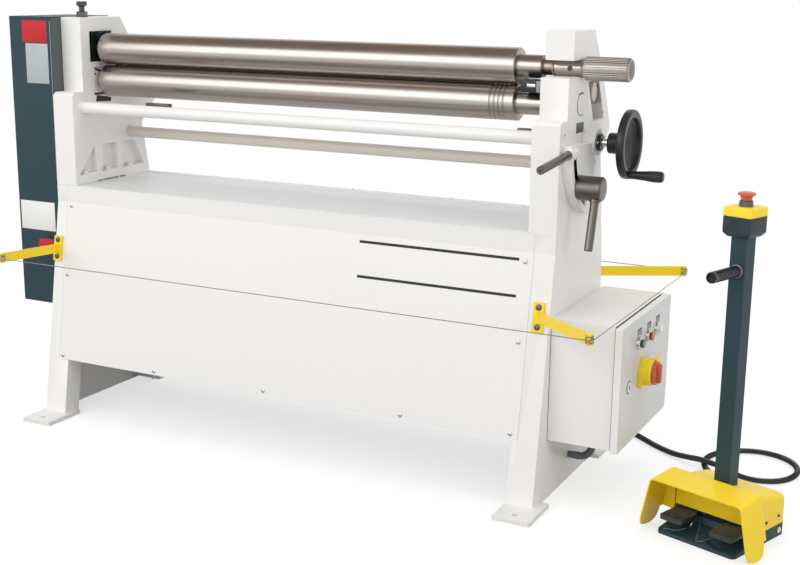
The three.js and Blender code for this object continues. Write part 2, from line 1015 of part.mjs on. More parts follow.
function standEnd(name, start, outerSide, shift) {
  const end = start + frame.thickness;
  const bottom = stand.skirtGap;
  const outer = plateAcross(standOutline(bottom, frame.foot, 0), start, end);
  const hollow = plateAcross(
    standOutline(bottom - fit.overrun, frame.foot - stand.skin, stand.skin),
    start + stand.skin,
    end - stand.skin,
  );
  const inner = outerSide < 0 ? end : start;
  const window = plateAcross(
    standOutline(bottom - fit.overrun, frame.foot - stand.skin, stand.returnWidth),
    inner - stand.skin - fit.overrun,
    inner + stand.skin + fit.overrun,
  );
  const recess = panel.sheet + fit.clearance;
  const seat = plateAcross(
    [
      [-frontReach(panel.bottom) - fit.overrun, panel.bottom - fit.clearance],
      [-frontReach(panel.bottom) + recess, panel.bottom - fit.clearance],
      [-frontReach(frontKnee) + recess, frontKnee],
      [-frontReach(frame.foot) + recess, frame.foot - panel.topSheet],
      [-frontReach(frame.foot) - fit.overrun, frame.foot - panel.topSheet],
    ],
    panelLeft - fit.clearance,
    panelRight + fit.clearance,
  );
  const tools = [hollow, window, seat];
  if (outerSide < 0) {
    const hole = drive.shaftDiameter * 2;
    const from = [start - fit.overrun, drive.shaftBack, shaftHeight];
    tools.push(rod("x", from, stand.skin + 2 * fit.overrun, hole, sides.small));
  }
  const shell = cut(outer, ...tools);
  add(name, join(shell, ...footPlates(start + frame.thickness / 2 + shift)), paint.white);
}

function panels() {
  const bottom = panel.bottom;
  const top = frame.foot - panel.topSheet;
  const sheet = panel.sheet;
  const front = plateAcross(
    [
      [-frontReach(bottom), bottom],
      [-frontReach(bottom) + sheet, bottom],
      [-frontReach(frontKnee) + sheet, frontKnee],
      [-frontReach(top) + sheet, top],
      [-frontReach(top), top],
      [-frontReach(frontKnee), frontKnee],
    ],
    panelLeft,
    panelRight,
  );
  const between = [leftInner + fit.clearance, frameRight - fit.clearance];
  const lip = block(
    [between[0], -frontReach(bottom) + sheet - fit.weld, bottom],
    [between[1], -frontReach(bottom) + panel.lip, bottom + sheet],
  );
  add("front_panel", join(front, lip), paint.white);

  const rear = plateAcross(
    [
      [rearReach(bottom) - sheet, bottom],
      [rearReach(bottom), bottom],
      [rearReach(rearKnee), rearKnee],
      [rearReach(top), top],
      [rearReach(top) - sheet, top],
      [rearReach(rearKnee) - sheet, rearKnee],
    ],
    ...between,
  );
  const rearLip = block(
    [between[0], rearReach(bottom) - panel.rearLip, bottom],
    [between[1], rearReach(bottom) - sheet + fit.weld, bottom + sheet],
  );
  add("rear_panel", join(rear, rearLip), paint.white);

  const topSheet = block([leftInner, -frame.stepDepth, top], [frameRight, stand.rearTop, frame.foot]);
  const rail = block(
    [leftInner, stand.rearTop - panel.railWidth, frame.foot - fit.weld],
    [frameRight, stand.rearTop, frame.foot + panel.railHeight],
  );
  add("base_top_plate", join(topSheet, rail), paint.grey);
}

function gearCoverPiece() {
  const wall = gearCover.wall;
  const outer = block(
    [coverLeft, -frame.stepDepth, coverFoot],
    [frameLeft, gearCover.rear, coverTop],
  );
  const hollow = block(
    [coverLeft + wall, -frame.stepDepth + wall, coverFoot + wall],
    [frameLeft + fit.overrun, gearCover.rear - wall, coverTop - wall],
  );
  const side = block(
    [frameLeft - wall, -frame.stepDepth, frame.foot + frame.stepHeight],
    [frameLeft, -frame.headHalf + gearCover.lap, coverTop],
  );
  add("gear_cover", join(cut(outer, hollow), side), paint.teal);
}

// Drive

function sprocket(diameter, teeth, centre, bore) {
  const radius = diameter / 2;
  const points = [];
  for (let tooth = 0; tooth < teeth; tooth += 1) {
    for (const [share, depth] of [[0, drive.toothDepth], [drive.tipShare, 0]]) {
      const angle = (2 * Math.PI * (tooth + share)) / teeth;
      points.push([
        centre[1] + (radius - depth) * Math.cos(angle),
        centre[2] + (radius - depth) * Math.sin(angle),
      ]);
    }
  }
  const disc = plateAcross(points, centre[0], centre[0] + drive.sprocketWidth);
  if (!bore) return disc;
  const hole = rod(
    "x",
    [centre[0] - fit.overrun, centre[1], centre[2]],
    drive.sprocketWidth + 2 * fit.overrun,
    bore,
    sides.shaft,
  );
  return cut(disc, hole);
}

// The band round both sprockets at a spacing from their tips, as one outline.
function chainOutline(spacing) {
  const upper = drive.rollSprocket / 2 + spacing;
  const lower = drive.motorSprocket / 2 + spacing;
  const rise = lowerAxis - shaftHeight;
  const distance = Math.hypot(rise, drive.shaftBack);
  const tilt = THREE.MathUtils.radToDeg(Math.atan2(drive.shaftBack, rise));
  const wrap = THREE.MathUtils.radToDeg(Math.asin((upper - lower) / distance));
  return [
    ...arc(0, lowerAxis, upper, tilt - wrap, tilt + 180 + wrap, sides.shaft),
    ...arc(drive.shaftBack, shaftHeight, lower, tilt + 180 + wrap, tilt + 360 - wrap, sides.small),
  ];
}

function driveTrain() {
  const gearboxStart = frameLeft + stand.skin + fit.clearance;
  const gearboxEnd = gearboxStart + drive.gearboxLength;
  const half = drive.gearboxSize / 2;
  const housing = block(
    [gearboxStart, drive.shaftBack - half, shaftHeight - half],
    [gearboxEnd, drive.shaftBack + half, shaftHeight + half],
  );
  const boreEnd = gearboxEnd - drive.shaftDiameter;
  const bore = rod(
    "x",
    [gearboxStart - fit.overrun, drive.shaftBack, shaftHeight],
    boreEnd - gearboxStart + fit.overrun,
    drive.shaftDiameter + 2 * fit.clearance,
    sides.shaft,
  );
  add("gearbox", cut(housing, bore), paint.castIron);
  const motorStart = [gearboxEnd, drive.shaftBack, shaftHeight];
  add("motor", rod("x", motorStart, drive.motorLength, drive.motorDiameter, sides.shaft), paint.teal);

  const seat = sleeve.diameter + 2 * fit.clearance;
  const rollPlace = [sprocketStart, 0, lowerAxis];
  add("roll_sprocket", sprocket(drive.rollSprocket, drive.rollTeeth, rollPlace, seat), paint.castIron);
  const motorPlace = [sprocketStart, drive.shaftBack, shaftHeight];
  const shaft = rod(
    "x",
    motorPlace,
    boreEnd - fit.clearance - sprocketStart,
    drive.shaftDiameter,
    sides.shaft,
  );
  const motorSprocket = sprocket(drive.motorSprocket, drive.motorTeeth, motorPlace, 0);
  add("drive_sprocket", join(motorSprocket, shaft), paint.castIron);

  const end = sprocketStart + drive.sprocketWidth;
  const band = plateAcross(chainOutline(fit.clearance + drive.chainThickness), sprocketStart, end);
  const inside = plateAcross(
    chainOutline(fit.clearance),
    sprocketStart - fit.overrun,
    end + fit.overrun,
  );
  add("drive_chain", cut(band, inside), paint.darkSteel);
}

// Levers and handwheel on the right frame

const leverAxis = { y: pinchLever.pivotBack, z: axisHeight - pinchLever.pivotDrop };
const leverStart = rightFace + fit.clearance;
const leverEnd = leverStart + pinchLever.thickness;
const slotRadius = pinchLever.rim - pinchLever.slotInset;
const collarPlace = leverEnd + pinchLever.bossHeight + fit.clearance;
const hubStart = collarPlace + wheel.collarLength + wheel.hubGap;
const wheelBack = hubStart + wheel.rimReach;

function clampStudPlace() {
  const angle = THREE.MathUtils.degToRad(clampLever.studAngle);
  return {
    y: pinchLever.pivotBack + slotRadius * Math.cos(angle),
    z: axisHeight - pinchLever.pivotDrop + slotRadius * Math.sin(angle),
  };
}

function pinchLeverPlate() {
  const { y, z } = leverAxis;
  const { rim, rimStartAngle, rimEndAngle } = pinchLever;
  const sector = [[y, z], ...arc(y, z, rim, rimStartAngle, rimEndAngle, sides.small)];
  const plate = plateAcross(sector, leverStart, leverEnd);
  const boss = rod(
    "x",
    [leverStart, y, z],
    pinchLever.thickness + pinchLever.bossHeight,
    pinchLever.bossDiameter,
    sides.shaft,
  );
  const angle = THREE.MathUtils.degToRad(pinchLever.barAngle);
  const radial = [Math.cos(angle), Math.sin(angle)];
  const barX = leverStart + pinchLever.barPlace;
  const at = (radius) => [barX, y + radius * radial[0], z + radius * radial[1]];
  const lugEnd = pinchLever.rim + fit.weld;
  const lug = rodBetween(at(lugEnd - pinchLever.lugLength), at(lugEnd), pinchLever.lugDiameter, sides.small);
  const barSeat = lugEnd - pinchLever.lugLength / 2;
  const barHole = rodBetween(
    at(barSeat),
    at(lugEnd + fit.overrun),
    pinchLever.barDiameter + 2 * fit.clearance,
    sides.small,
  );
  const slot = [
    ...arc(
      y,
      z,
      slotRadius + pinchLever.slotWidth / 2,
      pinchLever.slotStartAngle,
      pinchLever.slotEndAngle,
      sides.small,
    ),
    ...arc(
      y,
      z,
      slotRadius - pinchLever.slotWidth / 2,
      pinchLever.slotEndAngle,
      pinchLever.slotStartAngle,
      sides.small,
    ),
  ];
  const slotTool = plateAcross(slot, leverStart - fit.overrun, leverEnd + fit.overrun);
  const bore = rod(
    "x",
    [leverStart - fit.overrun, y, z],
    pinchLever.thickness + pinchLever.bossHeight + 2 * fit.overrun,
    wheel.shaftDiameter + 2 * fit.clearance,
    sides.small,
  );
  const blank = cut(join(plate, boss, lug), slotTool, bore, barHole);
  add("pinch_lever_plate", blank, paint.white);
  const barStart = barSeat + fit.clearance;
  const bar = rodBetween(
    at(barStart),
    at(barStart + pinchLever.barLength),
    pinchLever.barDiameter,
    sides.small,
  );
  add("pinch_lever_bar", bar, paint.darkSteel);
}

function clampLeverPiece() {
  const { y, z } = clampStudPlace();
  const start = leverEnd + fit.clearance;
  const radius = clampLever.hubDiameter / 2;
  const end = clampLever.hubLength;
  const hub = turned(
    [
      [0, 0],
      [radius, 0],
      [radius, end - clampLever.chamfer],
      [radius - clampLever.chamfer, end],
      [0, end],
    ],
    "x",
    [start, y, z],
    sides.shaft,
  );
  const stud = rod(
    "x",
    [rightFace - clampLever.studDepth, y, z],
    start + fit.weld - (rightFace - clampLever.studDepth),
    clampLever.studDiameter,
    sides.small,
  );
  const angle = THREE.MathUtils.degToRad(clampLever.barLeanAngle);
  const x = start + clampLever.barPlace;
  const bar = rodBetween(
    [x, y, z],
    [x, y - clampLever.barLength * Math.sin(angle), z - clampLever.barLength * Math.cos(angle)],
    clampLever.barDiameter,
    sides.small,
  );
  add("clamp_lever", join(hub, stud, bar), paint.darkSteel);
}

function handwheel() {
  const { y, z } = leverAxis;
  const start = rightFace - wheel.shaftDepth + fit.clearance;
  const radius = wheel.shaftDiameter / 2;
  const collar = wheel.collarDiameter / 2;
  const collarStart = collarPlace - start;
  const collarEnd = collarStart + wheel.collarLength;
  const shaftEnd = hubStart + wheel.hubDiameter / 2 - start;
  const shaft = turned(
    [
      [0, 0],
      [radius, 0],
      [radius, collarStart],
      [collar, collarStart],
      [collar, collarEnd],
      [radius, collarEnd],
      [radius, shaftEnd],
      [0, shaftEnd],
    ],
    "x",
    [start, y, z],
    sides.shaft,
  );
  add("handwheel_shaft", shaft, paint.steel);

  const outer = wheel.diameter / 2;
  const inner = outer - wheel.rimWidth;
  const hub = wheel.hubDiameter / 2;
  const back = wheelBack;
  const face = wheelBack + wheel.rimDepth;
  const seat = radius + fit.clearance;
  const disc = turned(
    [
      [seat, hubStart],
      [hub, hubStart],
      [hub, back - wheel.dish],
      [inner, back],
      [outer - roll.edgeChamfer, back],
      [outer, back + roll.edgeChamfer],
      [outer, face - roll.edgeChamfer],
      [outer - roll.edgeChamfer, face],
      [inner, face],
      [inner - roll.edgeChamfer, back + wheel.web],
      [hub, back - wheel.dish + wheel.web],
      [0, back - wheel.dish + wheel.web],
      [0, hubStart + hub + fit.clearance],
      [seat, hubStart + hub + fit.clearance],
      [seat, hubStart],
    ],
    "x",
    [0, y, z],
    sides.roll,
  );
  const crankY = y + wheel.crankBack;
  const crankZ = z - wheel.crankDrop;
  const hole = rod(
    "x",
    [face - wheel.spindleDepth - fit.clearance, crankY, crankZ],
    wheel.spindleDepth + fit.overrun,
    wheel.spindleDiameter + 2 * fit.clearance,
    sides.small,
  );
  add("handwheel", cut(disc, hole), paint.black);

  const spindle = wheel.spindleDiameter / 2;
  const gripStart = wheel.spindleDepth + fit.clearance;
  const thick = wheel.gripDiameter / 2;
  const crank = turned(
    [
      [0, 0],
      [spindle, 0],
      [spindle, gripStart],
      ...wheel.gripProfileShares.map(([radial, lengthwise]) => [
        thick * radial,
        gripStart + wheel.gripLength * lengthwise,
      ]),
      [0, gripStart + wheel.gripLength],
    ],
    "x",
    [face - wheel.spindleDepth, crankY, crankZ],
    sides.small,
  );
  add("crank_grip", crank, paint.black);
}

// Cabinet, door and controls

const doorStart = cabinetFace + cabinet.doorGap;
const doorFace = doorStart + cabinet.doorDepth;
const hingeAxis = {
  x: doorStart + cabinet.hingeRadius,
  y: doorRear + cabinet.hingeRadius - fit.weld,
};

function cabinetBox() {
  const wall = cabinet.wall;
  const outer = block(
    [rightFace, -cabinet.front, cabinetFoot],
    [cabinetFace, cabinet.rear, cabinetTop],
  );
  const hollow = block(
    [rightFace + wall, -cabinet.front + wall, cabinetFoot + wall],
    [cabinetFace + fit.overrun, cabinet.rear - wall, cabinetTop - wall],
  );
  add("cabinet_box", join(cut(outer, hollow), ...hingeLugs()), paint.white);
}

// The lugs on the cabinet's rear wall that hold the door's hinge barrel from above and below.
function hingeLugs() {
  const radius = cabinet.hingeRadius - fit.weld - 2 * fit.clearance;
  const height = cabinet.doorDepth - 2 * fit.clearance;
  const start = cabinetFace - cabinet.hingeArm;
  const lugs = [];
  for (const end of [doorFoot, doorTop - cabinet.doorDepth]) {
    const foot = end + fit.clearance;
    const head = foot + height;
    lugs.push(
      rod("z", [hingeAxis.x, hingeAxis.y, foot], height, 2 * radius, sides.tiny),
      block([start, hingeAxis.y - radius, foot], [hingeAxis.x, hingeAxis.y + radius, head]),
      block([start, cabinet.rear - fit.weld, foot], [cabinetFace, hingeAxis.y, head]),
    );
  }
  return lugs;
}

function cabinetDoor() {
  const wall = cabinet.wall;
  const outer = block(
    [doorStart, -doorFront, doorFoot],
    [doorFace, doorRear, doorTop],
  );
  const hollow = block(
    [doorStart - fit.overrun, -doorFront + wall, doorFoot + wall],
    [doorFace - wall, doorRear - wall, doorTop - wall],
  );
  const hinge = rod(
    "z",
    [hingeAxis.x, hingeAxis.y, doorFoot + cabinet.doorDepth],
    doorTop - doorFoot - 2 * cabinet.doorDepth,
    2 * cabinet.hingeRadius,
    sides.tiny,
  );
  const bezels = [];
  const holes = [];
  for (let index = 0; index < 3; index += 1) {
    const y = button.greenBack + button.pitch * index;
    bezels.push(
      rod(
        "x",
        [doorFace - wall, y, buttonHeight],
        wall + button.bezelLength,
        button.bezelDiameter,
        sides.small,
      ),
    );
    holes.push(
      rod(
        "x",
        [doorStart, y, buttonHeight],
        cabinet.doorDepth + button.bezelLength + fit.overrun,
        button.stemDiameter + 2 * fit.clearance,
        sides.small,
      ),
    );
  }
  const spindleHole = rod(
    "x",
    [doorStart, isolator.back, isolatorHeight],
    cabinet.doorDepth + fit.overrun,
    isolator.spindleDiameter + 2 * fit.clearance,
    sides.small,
  );
  add("cabinet_door", cut(join(cut(outer, hollow), hinge, ...bezels), ...holes, spindleHole), paint.grey);
}

function pushButtons() {
  const face = doorFace + button.bezelLength;
  const stem = button.stemDiameter / 2;
  const cap = button.capDiameter / 2;
  for (const [index, name, gap, length, material] of [
    [0, "green_start_button", button.travel, button.capLength, paint.green],
    [1, "red_stop_button", button.travel, button.capLength, paint.red],
    [2, "signal_lamp", 0, button.lampLength, paint.lens],
  ]) {
    const y = button.greenBack + button.pitch * index;
    const root = -button.stemLength;
    const foot = gap + fit.clearance;
    const profile = [
      [0, root],
      [stem, root],
      [stem, foot],
      [cap, foot],
      [cap, foot + length - roll.edgeChamfer],
      [cap - roll.edgeChamfer, foot + length],
      [0, foot + length],
    ];
    add(name, turned(profile, "x", [face, y, buttonHeight], sides.small), material);
  }
}

function isolatorSwitch() {
  const { back } = isolator;
  const height = isolatorHeight;
  const start = doorFace + fit.clearance;
  const plate = block(
    [start, back - isolator.plateWidth / 2, height - isolator.plateHeight / 2],
    [start + isolator.plateThickness, back + isolator.plateWidth / 2, height + isolator.plateHeight / 2],
  );
  const drumEnd = start + isolator.plateThickness + isolator.drumLength;
  const drum = rod("x", [start, back, height], drumEnd - start, isolator.drumDiameter, sides.shaft);
  const tab = block(
    [drumEnd - isolator.tabThickness, back, height + isolator.tabRise - isolator.tabHeight],
    [drumEnd, back + isolator.tabReach / 2, height + isolator.tabRise],
  );
  const bore = rod(
    "x",
    [start - fit.overrun, back, height],
    drumEnd - start + 2 * fit.overrun,
    isolator.spindleDiameter + 2 * fit.clearance,
    sides.small,
  );
  add("isolator_base", cut(join(plate, drum, tab), bore), paint.yellow);

  const knobStart = drumEnd + fit.clearance;
  const disc = rod(
    "x",
    [knobStart, back, height],
    isolator.knobLength / 2,
    isolator.knobDiameter,
    sides.shaft,
  );
  const halfGrip = isolator.knobGrip / 2;
  const halfRidge = isolator.knobDiameter / 2 - roll.edgeChamfer;
  const ridge = block(
    [knobStart + fit.weld, back - halfGrip, height - halfRidge],
    [knobStart + isolator.knobLength, back + halfGrip, height + halfRidge],
  );
  const spindle = rod(
    "x",
    [doorStart + cabinet.wall, back, height],
    knobStart + fit.weld - doorStart - cabinet.wall,
    isolator.spindleDiameter,
    sides.small,
  );
  add("isolator_knob", join(disc, ridge, spindle), paint.red);
}

// A short conduit that bends from a gland under the cabinet to the stand's side.
function cabinetConduit() {
  const top = cabinetFoot;
  const bendCentre = top - conduit.drop;
  const gland = rod(
    "z",
    [conduitPlace, conduit.back, bendCentre],
    conduit.drop - fit.clearance,
    conduit.diameter,
    sides.tiny,
  );
  const path = new THREE.CurvePath();
  const points = [[conduitPlace, bendCentre]];
  points.push(...arc(conduitPlace - conduit.bend, bendCentre, conduit.bend, 0, -90, conduit.steps));
  points.push([rightFace + fit.clearance, bendCentre - conduit.bend]);
  for (let index = 1; index < points.length; index += 1) {
    const from = new THREE.Vector3(points[index - 1][0], conduit.back, points[index - 1][1]);
    const to = new THREE.Vector3(points[index][0], conduit.back, points[index][1]);
    if (from.distanceTo(to) > fit.clearance / 2) path.add(new THREE.LineCurve3(from, to));
  }
  const radius = conduit.diameter / 2 - fit.weld;
  const section = outline(arc(0, 0, radius, 0, 360 - 360 / sides.tiny, sides.tiny - 1));
  const tube = new THREE.ExtrudeGeometry(section, { steps: 2 * conduit.steps, extrudePath: path });
  add("cabinet_conduit", join(gland, tube), paint.castIron);
}

// Trip-wire arms and wire

function tripArm(name, root, tip, reachAt, side) {
  const half = arm.bracketHeight / 2;
  const low = root[1] - half;
  const high = root[1] + half;
  const gap = fit.clearance;
  const face = (height, extra) => side * (reachAt(height) + extra);
  const corners = [
    [face(low, gap), low],
    [face(low, gap + arm.thickness), low],
    [face(high, gap + arm.thickness), high],
    [face(high, gap), high],
  ];
  const bracket = plateAcross(
    side < 0 ? corners.reverse() : corners,
    root[0] - arm.bracketWidth / 2,
    root[0] + arm.bracketWidth / 2,
  );
  const start = new THREE.Vector3(root[0], face(root[1], gap + arm.thickness / 2), root[1]);
  const end = new THREE.Vector3(tip, side * arm.tipReach, tipHeight);
  const way = end.clone().sub(start);
  const forward = way.clone().normalize();
  const across = forward.clone().cross(new THREE.Vector3(0, 0, 1)).normalize();
  const up = across.clone().cross(forward);
  const bar = new THREE.BoxGeometry(way.length(), arm.thickness, arm.height);
  const middle = start.clone().add(end).multiplyScalar(0.5);
  bar.applyMatrix4(new THREE.Matrix4().makeBasis(forward, across.negate(), up).setPosition(middle));
  const eye = rod(
    "z",
    [tip, side * arm.tipReach, tipHeight - arm.height / 2],
    arm.height,
    arm.tipDiameter,
    sides.small,
  );
  add(name, join(bracket, bar, eye), paint.yellow);
}

function tripWire() {
  const reach = arm.tipDiameter / 2 + fit.clearance + wire.diameter / 2;
  const points = [[leftTip, -arm.tipReach - reach]];
  points.push(...arc(rightTip, -arm.tipReach, reach, -90, 0, wire.cornerSteps));
  points.push(...arc(rightTip, arm.tipReach, reach, 0, 90, wire.cornerSteps));
  points.push([leftTip, arm.tipReach + reach]);
  add("trip_wire", wireTube(points), paint.steel);
}

// A tube of square-cornered rings, one at each point of a level route, closed at both ends.
function wireTube(points) {
  const count = sides.tiny - 2;
  const radius = wire.diameter / 2;
  const positions = [];
  const index = [];
  points.forEach((point, place) => {
    const before = points[Math.max(place - 1, 0)];
    const after = points[Math.min(place + 1, points.length - 1)];
    const way = new THREE.Vector2(after[0] - before[0], after[1] - before[1]).normalize();
    for (let corner = 0; corner < count; corner += 1) {
      const angle = (2 * Math.PI * corner) / count;
      positions.push(
        point[0] + radius * Math.cos(angle) * way.y,
        point[1] - radius * Math.cos(angle) * way.x,
        tipHeight - radius * Math.sin(angle),
      );
    }
  });
  closeTube(index, points.length, count, 0);
  return bufferOf(positions, index);
}

// Joins rings of points into a tube wall, and closes both ends with a fan.
function closeTube(index, rings, count, first) {
  wallBetween(index, rings, count, first, false);
  for (let corner = 1; corner < count - 1; corner += 1) {
    index.push(first, first + corner + 1, first + corner);
    const last = first + (rings - 1) * count;
    index.push(last, last + corner, last + corner + 1);
  }
}

function wallBetween(index, rings, count, first, inward) {
  for (let ring = 0; ring < rings - 1; ring += 1) {
    for (let corner = 0; corner < count; corner += 1) {
      const a = first + ring * count + corner;
      const b = first + ring * count + ((corner + 1) % count);
      const c = a + count;
      const d = b + count;
      if (inward) index.push(a, c, b, b, c, d);
      else index.push(a, b, c, b, d, c);
    }
  }
}

function bufferOf(positions, index) {
  const geometry = new THREE.BufferGeometry();
  geometry.setAttribute("position", new THREE.BufferAttribute(new Float32Array(positions), 3));
  geometry.setIndex(index);
  return geometry;
}

function tripGuard() {
  const rear = frame.foot - arm.rearDrop;
  tripArm("front_left_trip_arm", [leftRoot, frame.foot - arm.frontLeftDrop], leftTip, frontReach, -1);
  tripArm("front_right_trip_arm", [rightRoot, frame.foot - arm.frontRightDrop], rightTip, frontReach, -1);
  tripArm("rear_left_trip_arm", [leftRoot, rear], leftTip, rearReach, 1);
  tripArm("rear_right_trip_arm", [rightRoot, rear], rightTip, rearReach, 1);
  tripWire();
}

// Foot pedestal, built square to its own axes and then turned and placed

const station = new THREE.Group();
station.position.set(rightFace + pedestal.reach, pedestal.y, 0);
station.rotation.z = THREE.MathUtils.degToRad(pedestal.turnAngle);
machine.add(station);

const pedalPivot = { y: pedal.front + pedal.length, z: pedal.height + pedal.thickness / 2 };
const baseWidth = 2 * (pedal.offset + pedal.width + pedalBase.sideMargin);
const shelfStart = pedalPivot.y - pedalBase.shelfLead;
const coverHalf = baseWidth / 2 + guard.coverReach;
const hoodHalf = coverHalf + guard.hoodFlare;
const flapHalf = hoodHalf + guard.flapFlare;

function pedalBasePiece() {
  const half = baseWidth / 2;
  const body = plateAcross(
    [
      [0, 0],
      [pedalBase.depth, 0],
      [pedalBase.depth, pedalBase.height],
      [shelfStart, pedalBase.height],
      [shelfStart - pedalBase.shelfStep, pedalBase.slopeTop],
      [0, pedalBase.lip],
    ],
    -half,
    half,
  );
  const ears = [];
  const holes = [];
  const earTop = pedalPivot.z + pedal.barrelRadius;
  for (const side of [-1, 1]) {
    const middle = side * (pedal.offset + pedal.width / 2);
    for (const end of [-1, 1]) {
      const inner = middle + end * (pedal.width / 2 + fit.clearance);
      const outer = inner + end * pedal.earWidth;
      ears.push(
        block(
          [Math.min(inner, outer), pedalPivot.y - pedal.barrelRadius, pedalBase.height - fit.weld],
          [Math.max(inner, outer), pedalPivot.y + pedal.barrelRadius, earTop],
        ),
      );
    }
    const reach = pedal.width / 2 + pedal.earWidth + fit.overrun;
    holes.push(
      rod(
        "x",
        [middle - reach, pedalPivot.y, pedalPivot.z],
        2 * reach,
        pedal.pinDiameter + 2 * fit.clearance,
        sides.tiny,
      ),
    );
  }
  add("pedal_base", cut(join(body, ...ears), ...holes), paint.teal, station);
}

function pedalPieces() {
  for (const [name, side] of [
    ["left_pedal", -1],
    ["right_pedal", 1],
  ]) {
    const middle = side * (pedal.offset + pedal.width / 2);
    const half = pedal.width / 2;
    const nose = pedal.thickness * pedal.noseShare;
    const tread = plateAcross(
      [
        [pedal.front + nose, pedal.height],
        [pedalPivot.y, pedal.height],
        [pedalPivot.y, pedal.height + pedal.thickness],
        [pedal.front, pedal.height + pedal.thickness],
        [pedal.front, pedal.height + nose],
      ],
      middle - half,
      middle + half,
    );
    const barrel = rod(
      "x",
      [middle - half, pedalPivot.y, pedalPivot.z],
      pedal.width,
      2 * pedal.barrelRadius - 2 * fit.weld,
      sides.tiny,
    );
    const pinReach = half + pedal.earWidth;
    const pin = rod(
      "x",
      [middle - pinReach, pedalPivot.y, pedalPivot.z],
      2 * pinReach,
      pedal.pinDiameter,
      sides.tiny,
    );
    add(name, join(tread, barrel, pin), paint.rubber, station);
  }
}

// One hood section seen from the front, drawn in by an inset, as an outline in X and Z.
function hoodOutline(inset, height) {
  const foot = guard.footGap - (inset > 0 ? fit.overrun : 0);
  return [
    [-flapHalf + inset, foot],
    [flapHalf - inset, foot],
    [hoodHalf - inset, height - inset],
    [-hoodHalf + inset, height - inset],
  ];
}

// A solid between two four-cornered sections, one at each end along Y.
function loft(frontSection, frontY, rearSection, rearY) {
  const positions = [];
  for (const [x, z] of frontSection) positions.push(x, frontY, z);
  for (const [x, z] of rearSection) positions.push(x, rearY, z);
  const count = frontSection.length;
  const index = [];
  wallBetween(index, 2, count, 0, true);
  for (let corner = 1; corner < count - 1; corner += 1) {
    index.push(0, corner, corner + 1);
    index.push(count, count + corner + 1, count + corner);
  }
  return bufferOf(positions, index);
}

function pedalGuard() {
  const hoodEnd = guard.front + guard.hoodDepth;
  const wall = guard.wall;
  const hood = loft(
    hoodOutline(0, guard.frontHeight),
    guard.front,
    hoodOutline(0, guard.rearHeight),
    hoodEnd,
  );
  const hoodHollow = loft(
    hoodOutline(wall, guard.frontHeight),
    guard.front - fit.overrun,
    hoodOutline(wall, guard.rearHeight),
    hoodEnd - wall,
  );
  const half = coverHalf;
  const shellFoot = pedalBase.height + fit.clearance;
  const cover = block([-half, hoodEnd - wall, shellFoot], [half, pedalBase.depth, guard.coverHeight]);
  const coverHollow = block(
    [-half + wall, guard.front, shellFoot - fit.overrun],
    [half - wall, pedalBase.depth - wall, guard.coverHeight - wall],
  );
  const baseRoom = block(
    [-baseWidth / 2 - fit.clearance, guard.front - fit.overrun, 0],
    [baseWidth / 2 + fit.clearance, pedalBase.depth + fit.overrun, shellFoot],
  );
  const postHalf = post.size / 2 + fit.clearance;
  const postHole = block(
    [-postHalf, post.back - postHalf, pedalBase.height],
    [postHalf, post.back + postHalf, guard.rearHeight],
  );
  const footEnd = guard.front + guard.hoodDepth * guard.footLengthShare;
  const heel = block(
    [-flapHalf - fit.overrun, footEnd, 0],
    [flapHalf + fit.overrun, hoodEnd + fit.overrun, shellFoot],
  );
  const shell = cut(join(hood, cover), hoodHollow, coverHollow, baseRoom, postHole, heel);
  add("pedal_guard", shell, paint.yellow, station);
}

function pedestalPost() {
  const half = post.size / 2;
  const foot = pedalBase.height + fit.clearance;
  const body = block([-half, post.back - half, foot], [half, post.back + half, post.top]);
  const inner = half - post.wall;
  const hollow = block(
    [-inner, post.back - inner, foot - fit.overrun],
    [inner, post.back + inner, post.top - post.wall],
  );
  add("pedestal_post", cut(body, hollow), paint.teal, station);

  const radius = grip.diameter / 2;
  const start = post.back - half - fit.clearance - grip.length;
  const profile = [[0, 0], [radius - grip.ringDepth, 0]];
  const pitch = grip.length / (grip.rings + grip.crestShare);
  for (let ring = 0; ring < grip.rings; ring += 1) {
    profile.push(
      [radius, pitch * (ring + grip.crestShare)],
      [radius - grip.ringDepth, pitch * (ring + 1)],
    );
  }
  profile.push([radius, grip.length], [0, grip.length]);
  const place = [0, start, post.top - grip.drop];
  add("carry_grip", turned(profile, "y", place, sides.small), paint.rubber, station);
}

